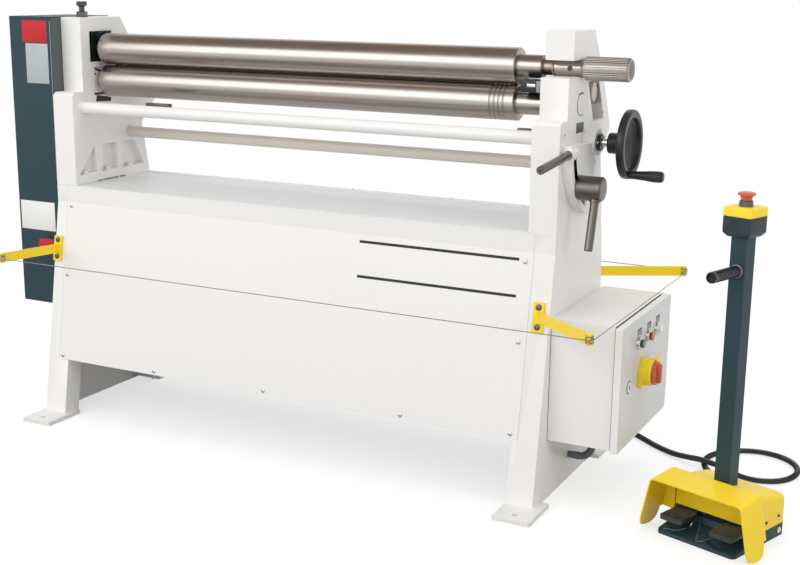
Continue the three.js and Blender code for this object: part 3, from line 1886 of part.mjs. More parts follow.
function stopStationPieces() {
  const half = stopStation.size / 2;
  const wall = stopStation.wall;
  const boxFoot = post.top + fit.clearance;
  const boxTop = boxFoot + stopStation.boxHeight;
  const box = block([-half, post.back - half, boxFoot], [half, post.back + half, boxTop]);
  const room = block(
    [-half + wall, post.back - half + wall, boxFoot + wall],
    [half - wall, post.back + half - wall, boxTop + fit.overrun],
  );
  add("stop_box", cut(box, room), paint.teal, station);

  const lidFoot = boxTop + fit.clearance;
  const lidTop = lidFoot + stopStation.lidHeight;
  const lid = block([-half, post.back - half, lidFoot], [half, post.back + half, lidTop]);
  const lidRoom = block(
    [-half + wall, post.back - half + wall, lidFoot - fit.overrun],
    [half - wall, post.back + half - wall, lidTop - wall],
  );
  const collarTop = lidTop + stopStation.collarHeight;
  const collar = rod(
    "z",
    [0, post.back, lidTop - fit.weld],
    stopStation.collarHeight + fit.weld,
    stopStation.collarDiameter,
    sides.small,
  );
  const bore = rod(
    "z",
    [0, post.back, boxTop],
    stopStation.lidHeight + stopStation.collarHeight + 2 * fit.overrun,
    stopStation.stemDiameter + 2 * fit.clearance,
    sides.small,
  );
  add("stop_box_lid", cut(join(cut(lid, lidRoom), collar), bore), paint.yellow, station);

  const stem = stopStation.stemDiameter / 2;
  const neck = stopStation.neckDiameter / 2;
  const head = stopStation.headDiameter / 2;
  const foot = stopStation.travel + fit.clearance;
  const brim = foot + stopStation.headHeight - stopStation.wall;
  const mushroom = turned(
    [
      [0, -stopStation.stemLength],
      [stem, -stopStation.stemLength],
      [stem, foot],
      [neck, foot],
      [head, brim - stopStation.wall],
      [head, brim],
      [neck, foot + stopStation.headHeight],
      [0, foot + stopStation.headHeight],
    ],
    "z",
    [0, post.back, collarTop],
    sides.shaft,
  );
  add("stop_mushroom", mushroom, paint.red, station);
}

// Hose between the machine and the pedestal

function hoseGlands() {
  const machineGland = rod(
    "z",
    [frameRight - hose.glandInset, hose.machineGlandY, panel.bottom - hose.glandLength],
    hose.glandLength - fit.clearance,
    hose.glandDiameter,
    sides.small,
  );
  add("machine_hose_gland", machineGland, paint.black);
  const pedestalGland = rod(
    "y",
    [hose.pedestalGlandX, pedalBase.depth + fit.clearance, hose.pedestalGlandZ],
    hose.glandLength - 2 * fit.clearance - roll.edgeChamfer,
    hose.glandDiameter,
    sides.small,
  );
  add("pedestal_hose_gland", pedestalGland, paint.black, station);
}

// The ribbed hose: an outer wall of ribs with plain ends, and a bore, along one smooth route.
function pedalHose() {
  const route = new THREE.CatmullRomCurve3(
    hoseRoute.map((point) => new THREE.Vector3(...point)),
    false,
    "centripetal",
  );
  route.arcLengthDivisions = hoseRoute.length * hose.ringPoints * hose.ringPoints;
  const length = route.getLength();
  const plain = hose.diameter / length;
  const crest = hose.diameter / 2;
  const outer = [[0, crest], [plain, crest]];
  const ribShare = (1 - 2 * plain) / hose.ribs;
  for (let rib = 0; rib < hose.ribs; rib += 1) {
    const start = plain + ribShare * rib;
    outer.push(
      [start + ribShare * hose.valleyShare, hose.valley],
      [start + ribShare * hose.crestShare, crest],
    );
  }
  outer.push([1 - plain, crest], [1, crest]);
  const inner = [];
  const boreRings = hose.ribs / hose.ribsPerBoreRing;
  for (let ring = 0; ring <= boreRings; ring += 1) inner.push([ring / boreRings, hose.bore]);

  const positions = [];
  const index = [];
  ringsAlong(route, outer, positions);
  ringsAlong(route, inner, positions);
  const count = hose.ringPoints;
  const innerFirst = outer.length * count;
  wallBetween(index, outer.length, count, 0, false);
  wallBetween(index, inner.length, count, innerFirst, true);
  const outerLast = (outer.length - 1) * count;
  const innerLast = innerFirst + (inner.length - 1) * count;
  for (let corner = 0; corner < count; corner += 1) {
    const next = (corner + 1) % count;
    index.push(corner, innerFirst + corner, next, next, innerFirst + corner, innerFirst + next);
    index.push(outerLast + corner, outerLast + next, innerLast + corner);
    index.push(outerLast + next, innerLast + next, innerLast + corner);
  }
  add("pedal_hose", bufferOf(positions, index), paint.rubber);
  reportHose(route, length);
}

// Rings of points square to a route: each ring is [share of the length, radius].
function ringsAlong(route, rings, positions) {
  let across = unit.x.clone();
  for (const [share, radius] of rings) {
    const centre = route.getPointAt(share);
    const way = route.getTangentAt(share);
    across = across.addScaledVector(way, -across.dot(way)).normalize();
    if (Math.abs(way.z) < hose.steepShare) {
      const level = way.clone().cross(unit.z).normalize();
      level.multiplyScalar(Math.sign(level.dot(across)) || 1);
      across = across.lerp(level, hose.uprightShare).normalize();
      across = across.addScaledVector(way, -across.dot(way)).normalize();
    }
    const side = way.clone().cross(across);
    for (let corner = 0; corner < hose.ringPoints; corner += 1) {
      const angle = (2 * Math.PI * (corner + 0.5)) / hose.ringPoints;
      const point = centre
        .clone()
        .addScaledVector(across, radius * Math.cos(angle))
        .addScaledVector(side, radius * Math.sin(angle));
      positions.push(point.x, point.y, point.z);
    }
  }
}

// Prints the hose's length and the least gap between stretches of it that aren't neighbours.
function reportHose(route, length) {
  const count = Math.round(length / hose.diameter) * 2;
  const points = route.getSpacedPoints(count);
  const apart = Math.ceil((Math.PI * hose.diameter * count) / length);
  let least = Infinity;
  for (let one = 0; one <= count; one += 1) {
    for (let other = one + apart; other <= count; other += 1) {
      least = Math.min(least, points[one].distanceTo(points[other]) - hose.diameter);
    }
  }
  console.log(`hose length ${length.toFixed(0)} mm, least gap to itself ${least.toFixed(2)} mm`);
}

// The whole machine

topRoll();
bottomRoll();
rearRoll();
bearings();
endSleeve();
releaseHandle();
clampScrewPiece();
rollRestPiece();
sideFrames();
standEnd("left_stand_end", frameLeft, -1, footPlate.leftShift);
standEnd("right_stand_end", frameRight, 1, footPlate.rightShift);
panels();
gearCoverPiece();
driveTrain();
pinchLeverPlate();
clampLeverPiece();
handwheel();
cabinetBox();
cabinetDoor();
pushButtons();
isolatorSwitch();
cabinetConduit();
tripGuard();
pedalBasePiece();
pedalPieces();
pedalGuard();
pedestalPost();
stopStationPieces();
hoseGlands();
pedalHose();

// The origin is on the floor, in the middle of all that stands there apart from the free hose.
machine.updateMatrixWorld(true);
const room = new THREE.Box3();
machine.traverse((piece) => {
  if (piece.isMesh && piece.name !== "pedal_hose") room.expandByObject(piece, true);
});
const middle = room.getCenter(new THREE.Vector3());
machine.position.set(-middle.x, -middle.y, 0);

export default machine;
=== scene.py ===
"""The looks of a powered plate rolling machine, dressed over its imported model.

Sizes in the classes are machine millimetres: X runs along the rolls from their middle towards the
handle end, Y is 0 on the top roll's axis and grows to the rear, and Z is 0 on the floor. Shape
turns them into the frame's metres.
"""

import json
import logging
import math
from dataclasses import dataclass, field
from enum import Enum
from typing import Callable, Optional, Sequence

import bmesh
import bpy
from bpy.types import Material, Mesh, Node, NodeSocket as Socket, NodeTree, Object
from mathutils import Matrix, Vector


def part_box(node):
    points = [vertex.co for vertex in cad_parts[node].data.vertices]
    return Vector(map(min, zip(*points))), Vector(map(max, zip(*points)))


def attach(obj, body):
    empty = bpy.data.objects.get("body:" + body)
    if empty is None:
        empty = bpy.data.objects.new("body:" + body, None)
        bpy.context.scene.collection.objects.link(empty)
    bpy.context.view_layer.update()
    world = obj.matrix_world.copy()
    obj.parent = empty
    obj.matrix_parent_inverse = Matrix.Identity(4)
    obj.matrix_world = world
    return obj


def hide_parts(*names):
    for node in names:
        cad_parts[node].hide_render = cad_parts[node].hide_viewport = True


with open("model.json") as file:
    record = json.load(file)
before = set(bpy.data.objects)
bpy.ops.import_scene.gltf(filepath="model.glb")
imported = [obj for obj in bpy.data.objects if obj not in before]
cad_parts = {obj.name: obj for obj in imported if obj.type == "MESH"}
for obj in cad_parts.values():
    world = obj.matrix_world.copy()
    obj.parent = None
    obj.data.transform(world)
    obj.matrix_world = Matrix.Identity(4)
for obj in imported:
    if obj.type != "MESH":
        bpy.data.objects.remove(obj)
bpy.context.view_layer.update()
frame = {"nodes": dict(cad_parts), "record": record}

LOG = logging.getLogger("plate_rolls")
MM = 0.001
COVER_LEFT = -894.0
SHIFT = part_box("gear_cover")[0].x - COVER_LEFT * MM
TO_METRES = Matrix.Translation((SHIFT, 0.0, 0.0)) @ Matrix.Scale(MM, 4)
BODY_OF = {
    node: body
    for body, members in frame["record"]["behaviour"]["bodies"].items()
    for node in members
}
FULL_TURN = 2 * math.pi

# What counts as no length, as one point, as one flat face and as an edge to ease.
TINY = 1e-6
WELD = 0.01 * MM
FLAT = math.radians(1.0)
SHARP = math.radians(25.0)
CREASE = math.radians(28.0)

# Corners flatter than this stay, others are rounded over at most this share of a side.
NEARLY_STRAIGHT = math.radians(170.0)
SIDE_SHARE = 0.45

# How many spans a curve has between two of its points before it is sampled evenly.
FINE_STEPS = 24

NO_LIGHT = (0.0, 0.0, 0.0, 1.0)
FULL_LIGHT = (1.0, 1.0, 1.0, 1.0)
MIDDLE_TONES = (0.3, 0.7)

Pair = tuple[float, float]
Triple = tuple[float, float, float]


class Axis(Enum):
    """The machine's axes."""

    X = (1.0, 0.0, 0.0)
    Y = (0.0, 1.0, 0.0)
    Z = (0.0, 0.0, 1.0)


class Head(Enum):
    """The screw heads on the machine."""

    BUTTON = "button"
    HEX = "hex"
    SOCKET = "socket"


def room(node: str) -> tuple[Vector, Vector]:
    """Returns a CAD node's lowest and highest corners in machine millimetres.

    Args:
        node: the node's name.

    Returns:
        The two corners.
    """
    back = TO_METRES.inverted()
    low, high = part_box(node)
    return back @ low, back @ high


def axis_of(node: str) -> Triple:
    """Returns a point on the axis of a round node that lies along X."""
    low, high = room(node)
    return 0.0, (low.y + high.y) / 2, (low.z + high.z) / 2


# Node trees


class Tree:
    """Lays out the nodes of one material or group."""

    def __init__(self, tree: NodeTree) -> None:
        """Takes the tree to lay out."""
        self.tree = tree

    def node(self, kind: str, plugs: Optional[dict] = None, **settings: object) -> Node:
        """Adds a node.

        Args:
            kind: the node's Blender type.
            plugs: input name or number to a value or to another node's output.
            **settings: the node's own properties.

        Returns:
            The new node.
        """
        made = self.tree.nodes.new(kind)
        for name, value in settings.items():
            setattr(made, name, value)
        self.feed(made, plugs or {})
        return made

    def plug(self, socket: Socket, value: object) -> None:
        """Links an output to an input, or sets the input's own value."""
        if isinstance(value, Socket):
            self.tree.links.new(value, socket)
        else:
            socket.default_value = value

    def feed(self, node: Node, plugs: dict) -> None:
        """Links or sets several inputs of a node."""
        for name, value in plugs.items():
            self.plug(node.inputs[name], value)

    def effect(self, group: NodeTree, **values: float) -> bpy.types.bpy_prop_collection:
        """Places a shared group with its own values, and returns its outputs."""
        return self.node("ShaderNodeGroup", values, node_tree=group).outputs

    def math(self, operation: str, first: object, second: object = 0.0) -> Socket:
        """Returns the output of a Math node."""
        return self.node("ShaderNodeMath", {0: first, 1: second}, operation=operation).outputs[0]

    def ramp(self, value: object, low: float, high: float, to: Pair = (0.0, 1.0)) -> Socket:
        """Returns a value stretched from low..high to the given ends, and held there."""
        plugs = {"Value": value, "From Min": low, "From Max": high, "To Min": to[0], "To Max": to[1]}
        return self.node("ShaderNodeMapRange", plugs).outputs["Result"]

    def mix(self, share: object, first: object, second: object) -> Socket:
        """Returns a colour between two colours."""
        plugs = {"Factor": share, 6: first, 7: second}
        return self.node("ShaderNodeMix", plugs, data_type="RGBA").outputs[2]

    def noise(self, where: object, scale: object, detail: float = 3.0) -> Socket:
        """Returns a noise value at a place."""
        plugs = {"Vector": where, "Scale": scale, "Detail": detail}
        return self.node("ShaderNodeTexNoise", plugs).outputs["Fac"]

    def place(self) -> Socket:
        """Returns the place on the piece, in metres."""
        return self.node("ShaderNodeTexCoord").outputs["Object"]

    def product(self, first: object, *others: object) -> Socket:
        """Returns several values multiplied."""
        for other in others:
            first = self.math("MULTIPLY", first, other)
        return first

    def shown(self) -> Socket:
        """Returns 1 where a thing is looked at, also through glass or in a reflection."""
        rays = self.node("ShaderNodeLightPath").outputs
        seen = self.math("MAXIMUM", rays["Is Camera Ray"], rays["Is Transmission Ray"])
        return self.math("MAXIMUM", seen, rays["Is Glossy Ray"])


def group_of(name: str, inputs: dict[str, float], outputs: Sequence[str]) -> tuple[Tree, object, object]:
    """Starts a shader node group with float sockets.

    Args:
        name: the group's name.
        inputs: input names with their default values.
        outputs: output names.

    Returns:
        The tree, its input node and its output node.
    """
    group = bpy.data.node_groups.new(name, "ShaderNodeTree")
    for socket, value in inputs.items():
        made = group.interface.new_socket(name=socket, in_out="INPUT", socket_type="NodeSocketFloat")
        made.default_value = value
    for socket in outputs:
        group.interface.new_socket(name=socket, in_out="OUTPUT", socket_type="NodeSocketFloat")
    tree = Tree(group)
    return tree, tree.node("NodeGroupInput"), tree.node("NodeGroupOutput")


class Effects:
    """The shader groups that several finishes share, each built once."""

    convex: Pair = (0.505, 0.56)
    rubbed: Pair = (0.42, 0.62)
    facing_up: Pair = (0.55, 0.98)
    patchy: Pair = (0.35, 0.75)

    def __init__(self) -> None:
        """Builds the groups."""
        self.coat = self._coat()
        self.wear = self._wear()
        self.dust_and_sheen = self._dust_and_sheen()
        self.grain = self._grain()

    def _coat(self) -> NodeTree:
        """Sprayed or moulded surface: a fine height and a slow drift of tone."""
        tree, given, made = group_of("surface coat", {"Peel": 600.0, "Drift": 5.0}, ["Height", "Tone"])
        place = tree.place()
        tree.plug(made.inputs["Height"], tree.noise(place, given.outputs["Peel"], 2.0))
        tree.plug(made.inputs["Tone"], tree.noise(place, given.outputs["Drift"], 4.0))
        return tree.tree

    def _wear(self) -> NodeTree:
        """Rubbed edges: high on convex edges, broken up by noise."""
        tree, given, made = group_of("edge wear", {"Amount": 0.5, "Break": 60.0}, ["Mask"])
        edge = tree.ramp(tree.node("ShaderNodeNewGeometry").outputs["Pointiness"], *self.convex)
        broken = tree.ramp(tree.noise(tree.place(), given.outputs["Break"], 5.0), *self.rubbed)
        tree.plug(made.inputs["Mask"], tree.product(edge, broken, given.outputs["Amount"]))
        return tree.tree

    def _dust_and_sheen(self) -> NodeTree:
        """Shop dust that lies on faces that look up; on the hose the same mask paints a highlight along its
        top.
        """
        tree, given, made = group_of("shop dust and painted sheen", {"Amount": 0.3, "Patch": 9.0}, ["Mask"])
        normal = tree.node("ShaderNodeNewGeometry").outputs["Normal"]
        upward = tree.ramp(tree.node("ShaderNodeSeparateXYZ", {0: normal}).outputs["Z"], *self.facing_up)
        patch = tree.ramp(tree.noise(tree.place(), given.outputs["Patch"], 6.0), *self.patchy)
        tree.plug(made.inputs["Mask"], tree.product(upward, patch, given.outputs["Amount"]))
        return tree.tree

    def _grain(self) -> NodeTree:
        """Machined lines: noise stretched so that it only changes quickly along chosen axes."""
        inputs = {"Along X": 500.0, "Along Y": 6.0, "Along Z": 6.0}
        tree, given, made = group_of("machined grain", inputs, ["Height", "Tone"])
        stretch = tree.node("ShaderNodeCombineXYZ", {axis: given.outputs[f"Along {axis}"] for axis in "XYZ"})
        plugs = {0: tree.place(), 1: stretch.outputs[0]}
        where = tree.node("ShaderNodeVectorMath", plugs, operation="MULTIPLY").outputs[0]
        tree.plug(made.inputs["Height"], tree.noise(where, 1.0, 4.0))
        tree.plug(made.inputs["Tone"], tree.noise(where, 0.09, 3.0))
        return tree.tree


EFFECTS = Effects()


# Finishes


@dataclass(frozen=True)
class Finish:
    """What every finish has: its name, record slot and tone, and how deep its texture is."""

    name: str
    slot: Optional[str]
    color: Triple
    roughness: float
    depth: float = 0.005
    relief: float = 0.001

    def material(self) -> Material:
        """Returns the finish's material, made the first time it is asked for."""
        known = bpy.data.materials.get(self.name)
        if known:
            return known
        made = bpy.data.materials.new(self.name)
        made.use_nodes = True
        self.lay_out(Tree(made.node_tree), made.node_tree.nodes["Principled BSDF"])
        return made

    def lay_out(self, tree: Tree, shader: Node) -> None:
        """Fills in the shader. Each kind of finish does this its own way."""
        raise NotImplementedError

    def rgba(self, scale: float = 1.0) -> tuple[float, float, float, float]:
        """Returns the colour, darker or lighter by a scale, with a full alpha."""
        red, green, blue = (min(1.0, part * scale) for part in self.color)
        return red, green, blue, 1.0

    def swing(self, tree: Tree, value: object, less: float, more: float) -> Socket:
        """Returns a roughness that a value moves below and above the finish's own."""
        return tree.ramp(value, *MIDDLE_TONES, (self.roughness - less, self.roughness + more))

    def feed(self, tree: Tree, shader: Node, color: object, rough: object, height: object) -> None:
        """Gives the shader what changes over the surface.

        Args:
            tree: the material's tree.
            shader: its shader.
            color: the colour's output.
            rough: the roughness's output.
            height: the output of the fine height that makes the bump.
        """
        plugs = {"Strength": self.depth, "Distance": self.relief, "Height": height}
        bump = tree.node("ShaderNodeBump", plugs).outputs["Normal"]
        tree.feed(shader, {"Base Color": color, "Roughness": rough, "Normal": bump})


@dataclass(frozen=True)
class Coated(Finish):
    """A colour that drifts slowly, with dust where it looks up and rubbed edges; on the hose the same upward
    mask is a painted highlight.
    """

    worn: Triple = (0.42, 0.4, 0.38)
    dust_and_sheen_color: Triple = (0.55, 0.53, 0.5)
    tones: Pair = (0.993, 1.004)
    spread: float = 0.012
    wear: float = 0.012
    dust_and_sheen: float = 0.05
    peel: float = 420.0
    drift: float = 2.2
    coat: float = 0.06
    coat_roughness: float = 0.25
    gloss: float = 0.5

    def lay_out(self, tree: Tree, shader: Node) -> None:
        """Lays base tone, slow drift, dust and worn edges; on the hose the dust mask paints a highlight."""
        surface = tree.effect(EFFECTS.coat, Peel=self.peel, Drift=self.drift)
        wear = tree.effect(EFFECTS.wear, Amount=self.wear)
        dust_and_sheen = tree.effect(EFFECTS.dust_and_sheen, Amount=self.dust_and_sheen)
        darker, lighter = (self.rgba(scale) for scale in self.tones)
        base = tree.mix(tree.ramp(surface["Tone"], *MIDDLE_TONES), darker, lighter)
        dusted_and_sheened = tree.mix(dust_and_sheen["Mask"], base, (*self.dust_and_sheen_color, 1.0))
        color = tree.mix(wear["Mask"], dusted_and_sheened, (*self.worn, 1.0))
        rough = self.swing(tree, surface["Tone"], self.spread, self.spread)
        self.feed(tree, shader, color, rough, surface["Height"])
        shader.inputs["Coat Weight"].default_value = self.coat
        shader.inputs["Coat Roughness"].default_value = self.coat_roughness
        shader.inputs["Specular IOR Level"].default_value = self.gloss


@dataclass(frozen=True)
class Paint(Coated):
    """A sprayed coat on metal, with rubbed edges and a little dust."""


@dataclass(frozen=True)
class Moulded(Coated):
    """Plastic or rubber with a fine moulded texture, and scuffs on its edges."""

    depth: float = 0.015
    relief: float = 0.0005
    worn: Triple = (0.3, 0.3, 0.3)
    dust_and_sheen_color: Triple = (0.42, 0.41, 0.4)
    tones: Pair = (0.96, 1.03)
    spread: float = 0.05
    wear: float = 0.03
    dust_and_sheen: float = 0.03
    peel: float = 900.0
    drift: float = 5.0
    coat: float = 0.0
    coat_roughness: float = 0.03
    gloss: float = 0.35


@dataclass(frozen=True)
class Machined(Finish):
    """Bare turned or ground metal, with lines that run round its axis and faint stains."""

    relief: float = 0.0006
    grain: Triple = (520.0, 5.0, 5.0)
    contrast: float = 0.025
    stain: Triple = (0.3, 0.25, 0.21)
    stained: float = 0.05
    stain_drift: float = 7.0
    patches: Pair = (0.52, 0.75)

    def lay_out(self, tree: Tree, shader: Node) -> None:
        """Lays grain lines over the metal, and patches of thin stain."""
        stretch = {f"Along {axis}": value for axis, value in zip("XYZ", self.grain)}
        lines = tree.effect(EFFECTS.grain, **stretch)
        surface = tree.effect(EFFECTS.coat, Drift=self.stain_drift)
        fine = tree.ramp(lines["Height"], *MIDDLE_TONES)
        base = tree.mix(fine, self.rgba(1.0 - self.contrast), self.rgba(1.0 + self.contrast))
        patch = tree.product(tree.ramp(surface["Tone"], *self.patches), self.stained)
        color = tree.mix(patch, base, (*self.stain, 1.0))
        rough = self.swing(tree, lines["Tone"], 0.02, 0.03)
        self.feed(tree, shader, color, rough, lines["Height"])
        shader.inputs["Metallic"].default_value = 1.0


WHITE = Paint("off-white powder coat", "white_paint", (0.84, 0.825, 0.805), 0.42)
GREY = Paint("light grey powder coat", "grey_paint", (0.8, 0.815, 0.815), 0.45)
GREY_WHITE = Paint("grey-white powder coat", "grey_paint", (0.7, 0.705, 0.695), 0.42)
DOOR_WHITE = Paint("door off-white coat", "grey_paint", (0.84, 0.825, 0.805), 0.42)
CREAM = Paint("cream coat", "cream_paint", (0.66, 0.62, 0.53), 0.4)
TEAL = Paint(
    "dark teal powder coat", "teal_paint", (0.03, 0.06, 0.073), 0.42,
    worn=(0.2, 0.22, 0.23), dust_and_sheen=0.0, coat=0.0, gloss=0.16,
)
# Painted glare: a lighter, greyer teal for the cover's side and top, where the same paint catches the light.
TEAL_GLARE = Paint(
    "dark teal coat in glare", None, (0.1, 0.125, 0.122), 0.5,
    dust_and_sheen=0.0, coat=0.0, gloss=0.2,
)
# A lighter teal for the base's ridges: a painted highlight for the light that catches them.
RIDGE = Paint("teal ridge painted highlight", None, (0.11, 0.19, 0.22), 0.4, dust_and_sheen=0.0, coat=0.0)
# A light grey teal for a painted highlight on the gear cover's front right edge.
EDGE = Paint("teal edge painted highlight", None, (0.33, 0.36, 0.37), 0.4, dust_and_sheen=0.0)
YELLOW = Paint(
    "safety yellow coat", "yellow_paint", (0.96, 0.68, 0.015), 0.38,
    worn=(0.95, 0.8, 0.35), coat=0.0, gloss=0.35,
)

EVEN_GRAIN = (90.0, 90.0, 90.0)
ROLL_STEEL = Machined("ground roll steel", "roll_steel", (0.44, 0.402, 0.369), 0.29)
HANDLE_STEEL = Machined(
    "turned handle steel", "roll_steel", (0.42, 0.4, 0.38), 0.32,
    grain=(700.0, 9.0, 9.0),
)
COPPER_STEEL = Machined("oiled neck steel", "roll_steel", (0.34, 0.27, 0.22), 0.33)
BRIGHT_STEEL = Machined("bright plated steel", "roll_steel", (0.62, 0.61, 0.6), 0.2, grain=EVEN_GRAIN)
WIRE_STEEL = Machined(
    "stranded wire", "roll_steel", (0.33, 0.31, 0.3), 0.4,
    grain=(300.0, 300.0, 300.0),
)
LEVER_STEEL = Machined(
    "blackened lever steel", "dark_steel", (0.17, 0.157, 0.147), 0.36,
    grain=(60.0, 60.0, 300.0),
)
DARK_STEEL = Machined("dark screw steel", "dark_steel", (0.1, 0.095, 0.09), 0.35, grain=EVEN_GRAIN)
IRON = Machined(
    "black cast iron", "cast_iron", (0.03, 0.045, 0.045), 0.55,
    grain=(420.0, 420.0, 420.0), depth=0.05,
)
BRONZE = Machined(
    "bearing bronze", "bearing_bronze", (0.15, 0.11, 0.085), 0.45,
    grain=(30.0, 300.0, 300.0),
)

BLACK = Moulded(
    "black plastic", "black_plastic", (0.018, 0.022, 0.022), 0.34,
    coat=0.06, gloss=0.3,
)
GREY_METAL = Moulded("dull grey zinc", None, (0.3, 0.3, 0.29), 0.45, depth=0.01)
TEAL_MOULD = Moulded(
    "dark teal plastic", "teal_plastic", (0.036, 0.052, 0.06), 0.42,
    gloss=0.16, dust_and_sheen=0.0,
)
YELLOW_MOULD = Moulded(
    "yellow plastic", "yellow_plastic", (0.97, 0.73, 0.03), 0.34,
    worn=(0.95, 0.8, 0.35), gloss=0.25,
)
RED_MOULD = Moulded(
    "red plastic", "red_plastic", (0.6, 0.12, 0.06), 0.33,
    worn=(0.7, 0.3, 0.25), coat=0.15, gloss=0.3,
)
GREEN_MOULD = Moulded(
    "green plastic", "green_plastic", (0.02, 0.14, 0.1), 0.33,
    worn=(0.2, 0.4, 0.3), coat=0.3,
)
LENS = Moulded(
    "white lens", "lens", (0.82, 0.82, 0.79), 0.2,
    worn=(0.7, 0.7, 0.68), depth=0.01, coat=0.5,
)
CONDUIT = Moulded("grey conduit plastic", "black_plastic", (0.11, 0.135, 0.145), 0.4, dust_and_sheen=0.0)
# The hose's strong upward mask paints a light line along the tops of its ribs: a painted highlight, not dust.
HOSE = Moulded(
    "ribbed hose rubber", "black_rubber", (0.014, 0.017, 0.018), 0.25,
    peel=600.0, depth=0.01, dust_and_sheen=0.6, wear=0.0, gloss=0.4,
)
COLLAR = Moulded("blue-grey plastic", None, (0.085, 0.105, 0.115), 0.4)
RUBBER = Moulded(
    "black rubber", "black_rubber", (0.014, 0.016, 0.017), 0.3,
    peel=600.0, depth=0.02, coat=0.12, gloss=0.3, dust_and_sheen=0.0,
)
PEDAL_FACE = Moulded(
    "dark pedal plastic", "black_plastic", (0.032, 0.042, 0.052), 0.4,
    depth=0.02, dust_and_sheen=0.0, wear=0.05,
)
MARK = Moulded(
    "dark printed bar", None, (0.045, 0.043, 0.04), 0.5,
    depth=0.01, dust_and_sheen=0.0, wear=0.0, gloss=0.1,
)
TAG = Moulded("plain silver plate", None, (0.43, 0.465, 0.48), 0.35, depth=0.01, wear=0.0)
TAG_DARK = Moulded("plain grey tag", None, (0.26, 0.3, 0.31), 0.4, depth=0.01, wear=0.0)
RED_PLATE = Moulded("plain red plate", None, (0.56, 0.035, 0.04), 0.4, depth=0.01, wear=0.0, gloss=0.1)
CARD = Moulded("plain white card", None, (0.8, 0.8, 0.78), 0.5, depth=0.01, wear=0.0)


# Shapes


def placed(name: str, data: bpy.types.ID) -> Object:
    """Puts an object of some data in the scene."""
    made = bpy.data.objects.new(name, data)
    bpy.context.scene.collection.objects.link(made)
    return made


def carried(
    name: str, mesh: Mesh, finish: Finish, body: str, nodes: Sequence[str],
) -> Object:
    """Puts a mesh in the scene as a piece on a CAD body.

    Args:
        name: the piece's name.
        mesh: its mesh, in the frame's metres.
        finish: its finish.
        body: the CAD body it rides on.
        nodes: the CAD nodes it stands for.

    Returns:
        The new object.
    """
    made = placed(name, mesh)
    made.data.materials.clear()
    made.data.materials.append(finish.material())
    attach(made, body)
    if nodes:
        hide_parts(*nodes)
    LOG.info("%s on %s, %d faces", name, body, len(mesh.polygons))
    return made


def soften(mesh: Mesh, degrees: float) -> None:
    """Shades a mesh smooth but for edges sharper than an angle."""
    mesh.polygons.foreach_set("use_smooth", [True] * len(mesh.polygons))
    mesh.set_sharp_from_angle(angle=math.radians(degrees))


def dressed(
    node: str, kind: str, finish: Finish, ease: float = 0.9, rimmed: bool = False,
) -> Object:
    """Makes a piece from a CAD node's own faces, with eased edges.

    Args:
        node: the node.
        kind: what it is made of or how, which ends the piece's name.
        finish: its finish.
        ease: the width of the eased edges, in millimetres.
        rimmed: whether it has an open rim, whose faces are parted so that they stay open.

    Returns:
        The new piece.
    """
    shape = bmesh.new()
    shape.from_mesh(frame["nodes"][node].data)
    bmesh.ops.remove_doubles(shape, verts=shape.verts, dist=WELD)
    bmesh.ops.dissolve_limit(shape, angle_limit=FLAT, verts=shape.verts, edges=shape.edges)
    if rimmed:
        bmesh.ops.connect_verts_concave(shape, faces=shape.faces)
    mesh = bpy.data.meshes.new(f"{node}_{kind}")
    shape.to_mesh(mesh)
    shape.free()
    soften(mesh, 30.0)
    made = carried(f"{node}_{kind}", mesh, finish, BODY_OF[node], [node])
    bevel = made.modifiers.new("eased edges", "BEVEL")
    bevel.width = ease * MM
    bevel.segments = 2
    bevel.limit_method = "ANGLE"
    bevel.angle_limit = CREASE
    bevel.miter_outer = "MITER_ARC"
    bevel.harden_normals = True
    return made


def eased(points: Sequence[Pair], reach: float, steps: int = 3, closed: bool = False) -> list[Pair]:
    """Rounds the corners of an outline with short curves.

    Args:
        points: the outline's corners.
        reach: how far from a corner its curve starts.
        steps: how many spans the curve has.
        closed: whether the outline closes on itself.

    Returns:
        The outline with rounded corners.
    """
    count = len(points)
    made: list[Pair] = []
    for index, corner in enumerate(points):
        if not closed and index in (0, count - 1):
            made.append(corner)
            continue
        here = Vector(corner)
        before = Vector(points[index - 1]) - here
        after = Vector(points[(index + 1) % count]) - here
        if min(before.length, after.length) < TINY or before.angle(after) > NEARLY_STRAIGHT:
            made.append(corner)
            continue
        start = here + before.normalized() * min(reach, before.length * SIDE_SHARE)
        end = here + after.normalized() * min(reach, after.length * SIDE_SHARE)
        for step in range(steps + 1):
            share = step / steps
            point = start * (1 - share) ** 2 + here * 2 * share * (1 - share) + end * share**2
            made.append((point.x, point.y))
    return made


def curve_arc(centre: Pair, radius: float, start: float, end: float, steps: int) -> list[Pair]:
    """Returns points on an arc, with its ends in degrees."""
    angles = [math.radians(start + (end - start) * step / steps) for step in range(steps + 1)]
    return [(centre[0] + radius * math.cos(a), centre[1] + radius * math.sin(a)) for a in angles]


def stepped(start: float, *steps: Pair) -> list[Pair]:
    """Returns the profile of a solid bar that is thicker or thinner in steps.

    Args:
        start: where it starts along its axis.
        *steps: each step's radius, and where the step ends.

    Returns:
        The profile, from the axis back to the axis.
    """
    made = [(0.0, start)]
    for radius, end in steps:
        made += [(radius, start), (radius, end)]
        start = end
    return [*made, (0.0, start)]


def hoop(inner: float, outer: float, start: float, end: float) -> list[Pair]:
    """Returns the closed profile of a plain ring."""
    return [(inner, start), (outer, start), (outer, end), (inner, end), (inner, start)]


def between(one: Vector, other: Vector, start: float, end: float, time: float) -> Vector:
    """Returns the point that lies at a time on the line from one point at start to another at end."""
    return one * ((end - time) / (end - start)) + other * ((time - start) / (end - start))


